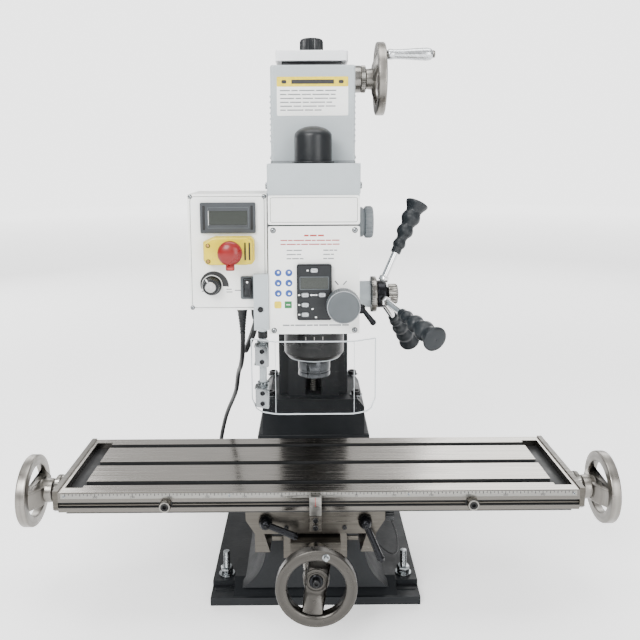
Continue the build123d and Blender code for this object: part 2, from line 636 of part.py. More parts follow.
def guard_shield():
    """Clear three-panel chip guard with its two hinge clamps."""
    with BuildPart() as guard:
        path = [(-83, -241), (-51, -257), (51, -257), (80, -241)]
        inside = [(80, -237), (50, -253), (-50, -253), (-83, -237)]
        prism(path + inside, Plane.XY.offset(310), 98)
        for low, high in ((317, 345), (373, 401)):
            rod((-69, -224, low), (0, 0, 1), 8, high - low)
            block((-80, -243.5, low), (-58, -229, high))
            rod((-69, -224, low - 1), (0, 0, 1), 5 + RUNNING, high - low + 2, mode=Mode.SUBTRACT)
            prism([(-84, -236.6), (-50, -252.6), (-50, -256), (-84, -240)][::-1],
                  Plane.XY.offset(low - 1), high - low + 2, mode=Mode.SUBTRACT)
    keep(guard, "guard_shield")


def quill():
    """The quill: a ground sleeve that carries the spindle's bearings."""
    with BuildPart() as sleeve:
        rod((0, SPINDLE_Y, QUILL_BOTTOM), (0, 0, 1), QUILL_RADIUS, QUILL_TOP - QUILL_BOTTOM)
        rod((0, SPINDLE_Y, QUILL_BOTTOM - 1), (0, 0, 1), 16 + RUNNING, 200, mode=Mode.SUBTRACT)
        block((-5, SPINDLE_Y + 29, 380), (5, SPINDLE_Y + 31, 520), mode=Mode.SUBTRACT)
    keep(sleeve, "quill")


def spindle():
    """Spindle with its nose and taper socket; the drawbar fills the bore above the socket."""
    with BuildPart() as shaft:
        outline = [(0, 333), (22, 333), (23, 334), (23, 356), (21, 361.6), (16, 361.6), (16, 540.4)]
        outline += [(20, 540.4), (20, 548), (9, 548), (9, 580), (0, 580)]
        turned(outline, (0, SPINDLE_Y, 0), (0, 0, 1), (1, 0, 0))
        taper = [(0, 332), (11.95, 332), (9.9, 415), (0, 415)]
        turned(taper, (0, SPINDLE_Y, 0), (0, 0, 1), (1, 0, 0), mode=Mode.SUBTRACT)
    keep(shaft, "spindle")


def feed_directions():
    """Unit directions (y, z) of the three feed handles, the first 15 degrees behind upright."""
    angles = [math.radians(15 + 120 * k) for k in (0, 1, 2)]
    return [(math.sin(a), math.cos(a)) for a in angles]


def feed_hub():
    """Pinion shaft, depth ring, hub and the three raked handle rods."""
    with BuildPart() as hub:
        rod((-24, FEED_Y, FEED_Z), (1, 0, 0), 7.6, 110)
        outline = [(7, 83.6), (26, 83.6), (26, 92), (20, 94), (20, 106), (10, 108), (10, 110)]
        outline += [(15, 110), (15, 122), (12, 124), (0, 124), (0, 86)]
        turned(outline, (0, FEED_Y, FEED_Z), (1, 0, 0), (0, 0, 1))
        for y, z in feed_directions():
            start = (99, FEED_Y + 12 * y, FEED_Z + 12 * z)
            rake = (FEED_END_X - 99, (FEED_REACH - 12) * y, (FEED_REACH - 12) * z)
            rod(start, rake, 5, 112)
    keep(hub, "feed_hub")


def feed_grips():
    """Three beaded rubber grips pressed onto the feed handle rods."""
    with BuildPart() as grips:
        for y, z in feed_directions():
            rake = Vector(FEED_END_X - 99, (FEED_REACH - 12) * y, (FEED_REACH - 12) * z).normalized()
            start = Vector(99, FEED_Y + 12 * y, FEED_Z + 12 * z) + rake * 54
            radial = rake.cross(Vector(1, 0, 0)).normalized()
            outline = [(5, 0), (7.2, 0), (7.2, 8), (9.8, 12), (9.8, 16), (7.6, 22), (7.6, 27)]
            outline += [(12.5, 33), (12.5, 38), (9.7, 43), (9.7, 48), (14.4, 55), (14.4, 60)]
            outline += [(11.5, 65), (11.5, 70), (17.3, 80), (17.3, 83), (12, 84.5), (0, 84.5)]
            outline += [(0, 58), (5, 58)]
            turned(outline, tuple(start), tuple(rake), tuple(radial))
    keep(grips, "feed_grips")


def fine_feed_knob():
    """Large round knob that turns the fine feed shaft."""
    with BuildPart() as knob:
        rod((37.5, PLATE_FRONT - 4, 452), (0, 1, 0), 6, 38)
        outline = [(0, 0.5), (12, 0.5), (12, 7), (20, 7), (22.5, 9), (22.5, 30), (20, 33), (0, 34)]
        turned(outline, (37.5, PLATE_FRONT, 452), (0, -1, 0), (0, 0, 1))
    keep(knob, "fine_feed_knob")


def range_knob():
    """Gear range selector on the head's right side."""
    with BuildPart() as knob:
        rod((34, -157, 553), (1, 0, 0), 7, 32)
        outline = [(0, 60.5), (13, 60.5), (13, 66), (22.5, 67), (22.5, 80), (20, 83), (0, 83)]
        turned(outline, (0, -157, 553), (1, 0, 0), (0, 0, 1))
    keep(knob, "range_knob")


def quill_lock_lever():
    """Small lever that clamps the quill."""
    with BuildPart() as lever:
        rod((44, -195, 437), (1, 0, 0), 4, 24)
        rod((60.5, -195, 437), (1, 0, 0), 6.5, 9)
        rod((66, -195, 437), (14, 0, -18), 3.6, 24)
    keep(lever, "quill_lock_lever")


# ---------------------------------------------------------------- cables
GLAND_OUTLINE = [(3.6, 0), (9, 0), (9, 7), (7, 9), (6, 18), (3.6, 18)]
LEAD_GLAND = (-101, -167, 441)
MOTOR_GLAND = (-82, -163, 441)
HEAD_GLAND = (-56, -85, 458.3)      # angled gland on the head's side, behind the control box


def lead_gland():
    """Two cable glands under the control box, and the angled one on the head's side."""
    with BuildPart() as glands:
        for place in (LEAD_GLAND, MOTOR_GLAND):
            turned(GLAND_OUTLINE, place, (0, 0, -1), (1, 0, 0))
        turned(GLAND_OUTLINE, HEAD_GLAND, (-1, 0, -1), (1, 0, -1))
        block((-60, -100, 430), (-40, -70, 480), mode=Mode.SUBTRACT)
    keep(glands, "lead_gland")


def corner_radii(points):
    """The radius of each corner of a route: 0.45 of the shorter run over the tangent of half the turn."""
    radii = []
    for before, here, after in zip(points, points[1:], points[2:]):
        into, out = Vector(*here) - Vector(*before), Vector(*after) - Vector(*here)
        turn = math.radians(into.get_angle(out))
        radii.append(0.45 * min(into.length, out.length) / math.tan(turn / 2))
    return radii


def tube(points, diameter):
    """A cable along a route: straight runs joined by tangent arcs, added to the current part."""
    radii = corner_radii(points)
    with BuildLine() as route:
        FilletPolyline(*points, radius=radii)
    with BuildSketch(Plane(origin=points[0], z_dir=Vector(*points[1]) - Vector(*points[0]))) as section:
        Circle(diameter / 2)
    sweep(section.sketch, path=route.wire())
    ideal = math.pi * diameter ** 2 / 4 * route.wire().length
    length = round(route.wire().length)
    print("cable", length, "mm long, radii", [round(r) for r in radii], "volume", round(ideal))


LEAD_SPLIT = (-122, -49, 289)
LEAD_UPPER = [(-101, -167, 423), (-101, -163.5, 398), (-103, -148, 367), (-109.5, -110, 333),
              (-118.5, -68, 311), LEAD_SPLIT]
LEAD_LOWER = [(-122.2, -47.9, 287.7), (-125, -33, 270.5), (-136, 4, 240), (-150, 36, 206),
              (-161, 58, 166), (-168.5, 72, 126), (-174, 88, 84), (-178, 110, 42), (-180, 144, 12),
              (-178, 184, 4), (-168, 222, 3.8), (-142, 250, 3.6)]
CONDUIT = [(-82, -163, 423), (-82.8, -162, 406), (-89.5, -151, 386), (-98.5, -137, 367), (-102, -118, 357),
           (-99.5, -100, 362), (-92.5, -89, 381), (-86.2, -85.5, 404), (-84.8, -85, 421), (-79.3, -85, 435),
           (-68.7, -85, 445.6)]
COIL_CENTRE = (-98, 262)


def mains_lead_upper():
    """Mains lead from its gland down to the height of the quill."""
    with BuildPart() as lead:
        tube(LEAD_UPPER, CABLE)
    keep(lead, "mains_lead_upper")


def mains_lead_lower():
    """Mains lead from there to the floor behind the base."""
    with BuildPart() as lead:
        tube(LEAD_LOWER, CABLE)
    keep(lead, "mains_lead_lower")


def lead_coil():
    """The spare lead, coiled on the floor behind the base: its outer shape."""
    with BuildPart() as coil:
        x, y = COIL_CENTRE
        outline = [(30, 0.2), (45, 0.2), (46, 7), (45, 14), (31, 14), (29, 7)]
        turned(outline, (x, y, 0), (0, 0, 1), (1, 0, 0))
    keep(coil, "lead_coil")


def mains_plug():
    """The plug at the end of the lead, lying beside the coil."""
    with BuildPart() as plug:
        block((2, 236, 0.2), (32, 272, 24))
        fillet(plug.edges().filter_by(Axis.Z), 7)
        rod((3, 254, 12), (-1, 0, 0), 7, 18)
        for y in (248, 260):
            rod((31, y, 12), (1, 0, 0), 2.4, 20)
    keep(plug, "mains_plug")


def motor_conduit():
    """Motor cable: out of the control box, round in a loop and back into the head's side."""
    with BuildPart() as cable:
        tube(CONDUIT, 8)
    keep(cable, "motor_conduit")


# ---------------------------------------------------------------- build everything
for make in (
    base_casting, column_casting, column_bolts, gear_housing, dust_cap, hold_down_studs, y_screw_bracket,
    saddle_casting, feed_nuts, pointer_block, table_top, end_brackets, table_stops, x_leadscrew, x_handwheels,
    x_dials, y_leadscrew, handwheel_front, y_dial, z_leadscrew, z_crank_shaft, z_dial, z_handwheel,
    z_crank_handle, z_carriage, z_nut, head_casting, tilt_bolts, motor_cover, motor, spindle_cap, front_plates,
    dro_panel, control_box, estop_housing, estop_button, speed_knob, direction_switch, guard_bracket,
    guard_shield, quill, spindle, feed_hub, feed_grips, fine_feed_knob, range_knob, quill_lock_lever,
    lead_gland, mains_lead_upper, mains_lead_lower, lead_coil, mains_plug, motor_conduit,
):
    make()

saddle_lever("saddle_lever_left", -68, -28, 137)
saddle_lever("saddle_lever_right", 68, 88, 104)
for number, (x, z) in enumerate(DRO_KEYS, 1):
    dro_key(number, x, z)
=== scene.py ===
"""Looks of the bench-top vertical milling machine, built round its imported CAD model.

Shapes are written in millimetres in the model's own frame: X to the operator's right,
Y away from the operator, Z up, and are turned into metres as they are made.
"""
import json
from math import cos, pi, radians, sin, sqrt, tau

import bmesh
import bpy
from mathutils import Matrix, Vector


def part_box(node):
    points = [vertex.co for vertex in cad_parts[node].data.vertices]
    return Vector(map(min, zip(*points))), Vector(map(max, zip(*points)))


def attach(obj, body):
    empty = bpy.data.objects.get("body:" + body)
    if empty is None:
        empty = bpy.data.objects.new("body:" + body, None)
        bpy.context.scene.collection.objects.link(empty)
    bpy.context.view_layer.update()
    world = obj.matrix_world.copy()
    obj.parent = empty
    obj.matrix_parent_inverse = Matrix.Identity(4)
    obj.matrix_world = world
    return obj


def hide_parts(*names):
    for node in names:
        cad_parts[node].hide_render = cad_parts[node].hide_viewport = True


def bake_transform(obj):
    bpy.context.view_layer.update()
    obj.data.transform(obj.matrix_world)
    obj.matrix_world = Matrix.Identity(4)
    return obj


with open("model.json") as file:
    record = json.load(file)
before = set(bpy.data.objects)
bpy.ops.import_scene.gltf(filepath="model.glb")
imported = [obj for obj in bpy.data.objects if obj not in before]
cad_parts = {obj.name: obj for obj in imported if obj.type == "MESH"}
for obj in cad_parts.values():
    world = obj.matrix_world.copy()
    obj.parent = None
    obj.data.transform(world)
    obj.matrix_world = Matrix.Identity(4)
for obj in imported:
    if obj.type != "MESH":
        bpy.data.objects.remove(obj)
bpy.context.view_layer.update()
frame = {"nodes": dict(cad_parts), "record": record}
MM = 0.001
X, Y, Z = Vector((1, 0, 0)), Vector((0, 1, 0)), Vector((0, 0, 1))


def box(node):
    """The low and high corners of a CAD node, in millimetres."""
    return tuple(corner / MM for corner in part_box(node))


# ---------------------------------------------------------------- camera
def make_camera():
    """A camera in front of the machine, a little above the table, looking slightly down."""
    yaw, pitch, roll = radians(0.18), radians(7.40), radians(-0.31)
    data = bpy.data.cameras.new("camera")
    data.lens = 39.56
    data.shift_x, data.shift_y = 0.0156, -0.109
    camera = bpy.data.objects.new("camera", data)
    bpy.context.scene.collection.objects.link(camera)
    turn = Matrix.Rotation(-yaw, 3, "Z") @ Matrix.Rotation(pi / 2 - pitch, 3, "X")
    turn = turn @ Matrix.Rotation(roll, 3, "Z")
    camera.matrix_world = Matrix.Translation((-0.0082, -1.139, 0.641)) @ turn.to_4x4()
    bpy.context.scene.camera = camera


make_camera()


# ---------------------------------------------------------------- material nodes
class Shader:
    """A material on a Principled shader, with small helpers that add texture nodes to it."""

    def __init__(self, name, roughness=0.5, metallic=0.0, **sockets):
        self.material = bpy.data.materials.new(name)
        self.material.use_nodes = True
        self.tree = self.material.node_tree
        self.shader = self.tree.nodes["Principled BSDF"]
        self.set("Roughness", roughness)
        self.set("Metallic", metallic)
        for socket, value in sockets.items():
            self.set(socket.replace("_", " "), value)
        self.where = self.node("ShaderNodeTexCoord").outputs["Object"]

    def set(self, socket, value):
        """Sets or links one of the shader's own sockets."""
        if isinstance(value, bpy.types.NodeSocket):
            self.tree.links.new(value, self.shader.inputs[socket])
        else:
            self.shader.inputs[socket].default_value = value

    def node(self, kind, links=None, **settings):
        """A new node: links maps an input's name to a value or to another node's output."""
        made = self.tree.nodes.new(kind)
        for name, value in settings.items():
            setattr(made, name, value)
        for name, value in (links or {}).items():
            if isinstance(value, bpy.types.NodeSocket):
                self.tree.links.new(value, made.inputs[name])
            else:
                made.inputs[name].default_value = value
        return made

    def noise(self, scale, detail=3.0, stretch=(1, 1, 1), roughness=0.55):
        """Noise of so many features a metre, stretched along an axis by a factor below 1."""
        place = self.node("ShaderNodeMapping", {"Vector": self.where, "Scale": stretch})
        links = {"Vector": place.outputs[0], "Scale": scale, "Detail": detail, "Roughness": roughness}
        return self.node("ShaderNodeTexNoise", links).outputs["Fac"]

    def rings(self, centre, axis, scale, detail=2.0):
        """Noise that changes only with the distance from an axis and along it: a lathe's tool marks."""
        middle = tuple(c * MM for c in centre)
        offset = self.node("ShaderNodeVectorMath", {0: self.where, 1: middle}, operation="SUBTRACT")
        across = tuple(0.0 if abs(a) > 0.5 else 1.0 for a in axis)
        flat = self.node("ShaderNodeVectorMath", {0: offset.outputs[0], 1: across}, operation="MULTIPLY")
        radius = self.node("ShaderNodeVectorMath", {0: flat.outputs[0]}, operation="LENGTH")
        along = self.node("ShaderNodeVectorMath", {0: offset.outputs[0], 1: tuple(axis)},
                          operation="DOT_PRODUCT")
        total = self.node("ShaderNodeMath", {0: radius.outputs["Value"], 1: along.outputs["Value"]},
                          operation="ADD")
        links = {"W": total.outputs[0], "Scale": scale, "Detail": detail}
        return self.node("ShaderNodeTexNoise", links, noise_dimensions="1D").outputs["Fac"]

    def spread(self, value, low, high, start=0.3, end=0.7):
        """Maps a texture's middle range onto low to high."""
        links = {"Value": value, "From Min": start, "From Max": end, "To Min": low, "To Max": high}
        return self.node("ShaderNodeMapRange", links).outputs["Result"]

    def blend(self, factor, first, second):
        """Mixes two colours."""
        mix = self.node("ShaderNodeMix", data_type="RGBA")
        for index, value in ((0, factor), (6, first), (7, second)):
            if isinstance(value, bpy.types.NodeSocket):
                self.tree.links.new(value, mix.inputs[index])
            else:
                mix.inputs[index].default_value = value if index == 0 else (*value[:3], 1)
        return mix.outputs[2]

    def bump(self, height, distance, strength=1.0, under=None):
        """Adds surface relief, in metres, on top of an earlier bump."""
        links = {"Height": height, "Distance": distance, "Strength": strength}
        if under:
            links["Normal"] = under
        return self.node("ShaderNodeBump", links).outputs["Normal"]


def tone(hex_colour, factor=1.0):
    """A linear colour from an sRGB hex string."""
    parts = [int(hex_colour[k:k + 2], 16) / 255 for k in (0, 2, 4)]
    linear = [p / 12.92 if p < 0.04045 else ((p + 0.055) / 1.055) ** 2.4 for p in parts]
    return tuple(min(1.0, p * factor) for p in linear)


def painted(name, colour, roughness=0.4, relief=0.00012, grain=420, mottle=0.08):
    """Sprayed enamel on metal: faint clouds of tone, orange peel, and a dusty variation of its gloss."""
    made = Shader(name, roughness, Specular_IOR_Level=0.35)
    clouds = made.noise(9, 5)
    dark, light = [c * (1 - mottle) for c in colour], [min(1, c * (1 + mottle)) for c in colour]
    made.set("Base Color", made.blend(made.spread(clouds, 0, 1), dark, light))
    made.set("Roughness", made.spread(made.noise(34, 4), roughness - 0.07, roughness + 0.09))
    peel = made.bump(made.noise(grain, 2), relief, 0.5)
    made.set("Normal", made.bump(made.noise(45, 3), relief * 4, 0.25, peel))
    return made.material


def cast(name, colour, roughness=0.5):
    """Painted casting: the skin of the sand mould shows through thick machine enamel."""
    made = Shader(name, roughness, Specular_IOR_Level=0.17)
    clouds = made.noise(6, 6)
    speck = made.spread(made.noise(700, 2), 0, 1, 0.56, 0.74)
    dark, light = [c * 0.82 for c in colour], [c * 1.16 for c in colour]
    body = made.blend(made.spread(clouds, 0, 1), dark, light)
    made.set("Base Color", made.blend(made.spread(speck, 0, 0.35, 0, 1), body, [c * 1.9 for c in colour]))
    made.set("Roughness", made.spread(made.noise(26, 4), roughness - 0.1, roughness + 0.12))
    skin = made.bump(made.noise(260, 4), 0.00035, 0.55)
    made.set("Normal", made.bump(made.noise(38, 3), 0.0012, 0.3, skin))
    return made.material


def ground(name, colour, roughness=0.3, along=(1, 0, 0), fine=1500, contrast=0.16, stain=0.12, shaded_side_factor=1.0):
    """Ground or milled steel: long fine scratches one way, stains of oil, and painted shade that darkens the
    faces not turned up.
    """
    made = Shader(name, roughness, 1.0)
    stretch = tuple(0.012 if a else 1 for a in along)
    streaks, scratches = made.noise(fine, 3, stretch), made.noise(fine * 0.3, 2, stretch)
    dark, light = [c * (1 - contrast) for c in colour], [min(1, c * (1 + contrast)) for c in colour]
    body = made.blend(made.spread(streaks, 0, 1), dark, light)
    clouds = made.spread(made.noise(11, 4), 0, stain, 0.4, 0.75)
    body = made.blend(clouds, body, [c * 0.35 for c in colour])
    # Painted shade: faces that do not point up take the colour times the shaded side factor.
    if shaded_side_factor < 1:
        facing = made.node("ShaderNodeSeparateXYZ", {0: made.node("ShaderNodeNewGeometry").outputs["Normal"]})
        top = made.spread(facing.outputs["Z"], 0, 1, 0.5, 0.9)
        body = made.blend(top, [c * shaded_side_factor for c in colour], body)
    made.set("Base Color", body)
    made.set("Roughness", made.spread(scratches, roughness - 0.08, roughness + 0.12))
    made.set("Normal", made.bump(streaks, 0.00004, 0.6))
    return made.material


def turned_metal(name, colour, centre, axis, roughness=0.24, scale=900, contrast=0.14, metallic=1.0):
    """Metal with a lathe's concentric tool marks round an axis."""
    made = Shader(name, roughness, metallic)
    marks, broad = made.rings(centre, axis, scale), made.rings(centre, axis, scale * 0.16)
    dark, light = [c * (1 - contrast) for c in colour], [min(1, c * (1 + contrast)) for c in colour]
    body = made.blend(made.spread(broad, 0, 1), dark, light)
    smudge = made.spread(made.noise(24, 4), 0, 0.18, 0.45, 0.8)
    made.set("Base Color", made.blend(smudge, body, [c * 0.5 for c in colour]))
    made.set("Roughness", made.spread(made.noise(60, 3), roughness - 0.05, roughness + 0.1))
    made.set("Normal", made.bump(marks, 0.00005, 0.55))
    return made.material


def moulded(name, colour, roughness=0.45, grain=1400, relief=0.00006, coat=0.0):
    """Moulded plastic or rubber with a fine spark-eroded grain."""
    made = Shader(name, roughness, Coat_Weight=coat, Coat_Roughness=0.08, Specular_IOR_Level=0.35)
    clouds = made.spread(made.noise(30, 4), 0, 1)
    made.set("Base Color", made.blend(clouds, [c * 0.88 for c in colour], [min(1, c * 1.12) for c in colour]))
    made.set("Roughness", made.spread(made.noise(80, 3), roughness - 0.05, roughness + 0.08))
    made.set("Normal", made.bump(made.noise(grain, 2), relief, 0.6))
    return made.material


def plated(name, colour, roughness=0.12, metallic=1.0):
    """Plated or polished metal with faint smears."""
    made = Shader(name, roughness, metallic)
    smears = made.spread(made.noise(45, 5), 0, 1)
    made.set("Base Color", made.blend(smears, [c * 0.86 for c in colour], colour))
    made.set("Roughness", made.spread(made.noise(90, 4), roughness - 0.03, roughness + 0.1))
    made.set("Normal", made.bump(made.noise(500, 2), 0.00002, 0.4))
    return made.material


def clear_sheet(name, colour, roughness=0.03, cover=0.015):
    """Clear polycarbonate, a little smoky, with fine wiping scratches."""
    made = Shader(name, roughness, IOR=1.45, Alpha=cover)
    scratches = made.noise(900, 3, (1, 1, 0.03))
    made.set("Base Color",
             made.blend(made.spread(made.noise(12, 3), 0, 1), [c * 0.97 for c in colour], colour))
    made.set("Roughness", made.spread(scratches, roughness, roughness + 0.05, 0.5, 0.8))
    return made.material


def screen(name, colour):
    """Liquid crystal screen: a soft sheen and a faint dot grid."""
    made = Shader(name, 0.25, Coat_Weight=0.1, Coat_Roughness=0.05)
    grid = made.node("ShaderNodeTexChecker", {"Vector": made.where, "Scale": 2600.0}).outputs["Fac"]
    made.set("Base Color", made.blend(made.spread(grid, 0, 0.12, 0, 1), colour, [c * 0.6 for c in colour]))
    made.set("Roughness", made.spread(made.noise(20, 3), 0.2, 0.32))
    return made.material


def printed(name, colour):
    """Screen-printed ink with slightly uneven cover."""
    made = Shader(name, 0.5)
    cover = made.spread(made.noise(260, 3), 0, 1)
    made.set("Base Color", made.blend(cover, [c * 0.85 for c in colour], [min(1, c * 1.1) for c in colour]))
    made.set("Roughness", made.spread(made.noise(120, 2), 0.42, 0.6))
    return made.material


TABLE_LOW, TABLE_HIGH = box("table_top")
QUILL_LOW, QUILL_HIGH = box("quill")
SPINDLE = (0, (QUILL_LOW.y + QUILL_HIGH.y) / 2, 0)
X_SHAFT = (0, SPINDLE[1], 160)
Y_SHAFT = (0, -325, 113)
Z_SHAFT = (0, 66, 773)
FEED_Y, FEED_Z = -119, 443          # axis of the quill feed's hub
TILT_HEIGHT = 490                   # axis that the head tilts on
CLAMP_Y, CLAMP_Z = -195, 437        # axis of the quill's clamp lever
KNOB_X, KNOB_Z = -136, 474.5        # axis of the speed knob
STOP_X, STOP_Z = -108, 521.7        # axis of the emergency stop
HINGE_X, HINGE_Y = -69, -224        # axis that the guard swings on
LEAD_GLAND, CABLE_GLAND = (-101, -167), (-82, -163)
GUARD_BOTTOM, GUARD_TOP = 310, 408
COLUMN_BACK = 165

MAT = {
    "charcoal_paint": cast("charcoal_enamel", tone("1b1d1f"), 0.42),
    "grey_paint": painted("grey_enamel", tone("9ea5a8"), 0.36),
    "white_plate": painted("white_enamel", tone("e4e5e2"), 0.34, 0.00008, 600, 0.04),
    "white_cap": painted("white_moulding", tone("e8eaec"), 0.32, 0.00006, 600, 0.04),
    "machined_iron": ground("machined_iron", tone("54514c"), 0.32, (1, 0, 0), 900, 0.14, 0.2),
    # The last number darkens the table's side faces as painted shade.
    "table_steel": ground("table_steel", tone("96928c"), 0.2, (1, 0, 0), 1300, 0.12, 0.12, 0.42),
    "polished_alloy": turned_metal("wheel_alloy_x", tone("7d7a75"), X_SHAFT, X, 0.3),
    "bright_steel": turned_metal("turned_steel_x", tone("7c7a76"), X_SHAFT, X, 0.2, 1400),
    "zinc_steel": plated("zinc_plate", tone("8c9092"), 0.22),
    "black_steel": plated("black_oxide", tone("131416"), 0.26, 0.5),
    "chrome": plated("chrome", tone("e4e5e6"), 0.07),
    "bronze": turned_metal("bronze", tone("b08a4a"), X_SHAFT, X, 0.3),
    "black_plastic": moulded("black_plastic", tone("0e1114"), 0.34),
    "grey_plastic": moulded("grey_plastic", tone("474c4f"), 0.42),
    "key_grey": moulded("key_rubber", tone("8d9093"), 0.55),
    "yellow_plastic": moulded("yellow_plastic", (0.55, 0.42, 0.001), 0.3, coat=0.3),
    "red_plastic": moulded("red_plastic", (0.17, 0.0015, 0.0015), 0.3, coat=0.15),
    "clear_guard": clear_sheet("clear_guard", tone("2a2c2d")),
    "grip_rubber": moulded("grip_rubber", tone("12171b"), 0.4, 900, 0.00008),
    "cable_black": moulded("cable_pvc", tone("101113"), 0.4, 800),
}
ZINC, BRIGHT, BLACK = MAT["zinc_steel"], MAT["bright_steel"], MAT["black_steel"]
# Painted shade: the cross feed's wheel takes a darker copy of the other wheels' alloy.
WHEEL_Y_SHADED = turned_metal("wheel_alloy_y_shaded", tone("4a4845"), Y_SHAFT, Y, 0.28)
WHEEL_Z = turned_metal("wheel_alloy_z", tone("7d7a75"), Z_SHAFT, X, 0.3)
STEEL_Y = turned_metal("turned_steel_y", tone("7c7a76"), Y_SHAFT, Y, 0.2, 1400)
STEEL_Z = turned_metal("turned_steel_z", tone("7c7a76"), Z_SHAFT, X, 0.2, 1400)
GRIP_STEEL = turned_metal("grip_steel", tone("c2c5c7"), Z_SHAFT, X, 0.22, 1200)
SPINDLE_STEEL = turned_metal("spindle_steel", tone("3e4042"), SPINDLE, Z, 0.14, 1800)
DARK_STEEL = turned_metal("dark_steel", tone("1b1c1c"), SPINDLE, Z, 0.28, 900, 0.2, 0.7)
SCREW_STEEL = turned_metal("screw_steel", tone("3c3b38"), (0, Z_SHAFT[1], 0), Z, 0.34, 1600)
BLACK_INK, WHITE_INK = printed("black_ink", tone("141517")), printed("white_ink", tone("e6e7e6"))
GREY_INK, RED_INK = printed("grey_ink", tone("6a6d6f")), printed("red_ink", (0.30, 0.02, 0.015))
BLUE_INK, GREEN_INK = printed("blue_ink", (0.008, 0.05, 0.24)), printed("green_ink", (0.006, 0.12, 0.03))
YELLOW_INK = printed("yellow_ink", (0.66, 0.5, 0.005))
SCALE_METAL = ground("scale_metal", tone("858480"), 0.3, (1, 0, 0), 1500, 0.06, 0.05)
LCD = screen("lcd", tone("1f241f"))
RANGE_GREY = moulded("range_grey", tone("666b6e"), 0.42)
# Painted highlight: light opaque lines for the glint along the clear guard's edges and folds.
GUARD_EDGE_GLINT = clear_sheet("guard_edge_glint", tone("b4babd"), 0.12, 1.0)
# Painted shade: dark sheets for the shade in the table's slots, its front groove and under its front edge.
PAINTED_SHADE_DARK = painted("painted_shade_dark", tone("141516"), 0.5)
BLUED = plated("blued_steel", tone("1a1b1e"), 0.2, 0.8)
SOCKET_DARK = moulded("socket_dark", tone("0c0d0e"), 0.5)


# ---------------------------------------------------------------- mesh building
SHARP_EDGE, BEVELLED_EDGE = radians(32), radians(28)


def rect(left, bottom, right, top):
    """The four corners of a rectangle."""
    return [(left, bottom), (right, bottom), (right, top), (left, top)]


def skin(part, rings, capped=True):
    """Faces between rings that have equally many points, and over the first and the last ring."""
    for one, two in zip(rings, rings[1:]):
        for k in range(len(one)):
            nxt = (k + 1) % len(one)
            part.faces.new((one[k], one[nxt], two[nxt], two[k]))
    if capped:
        part.faces.new(rings[0][::-1])
        part.faces.new(rings[-1])


def rounded(outline, size, closed=True, steps=3):
    """The outline with each corner cut by a small arc; open outlines keep their two ends."""
    points = [Vector(p[:2]) for p in outline]
    extra = [tuple(p[2:]) for p in outline]
    result, count = [], len(points)
    for k, here in enumerate(points):
        if not closed and k in (0, count - 1):
            result.append((*here, *extra[k]))
            continue
        before, after = points[k - 1], points[(k + 1) % count]
        cut = min(size, (before - here).length * 0.45, (after - here).length * 0.45)
        start, end = here + (before - here).normalized() * cut, here + (after - here).normalized() * cut
        for step in range(steps + 1):
            t = step / steps
            point = start * (1 - t) ** 2 + here * 2 * t * (1 - t) + end * t ** 2
            result.append((*point, *extra[k]))
    return result


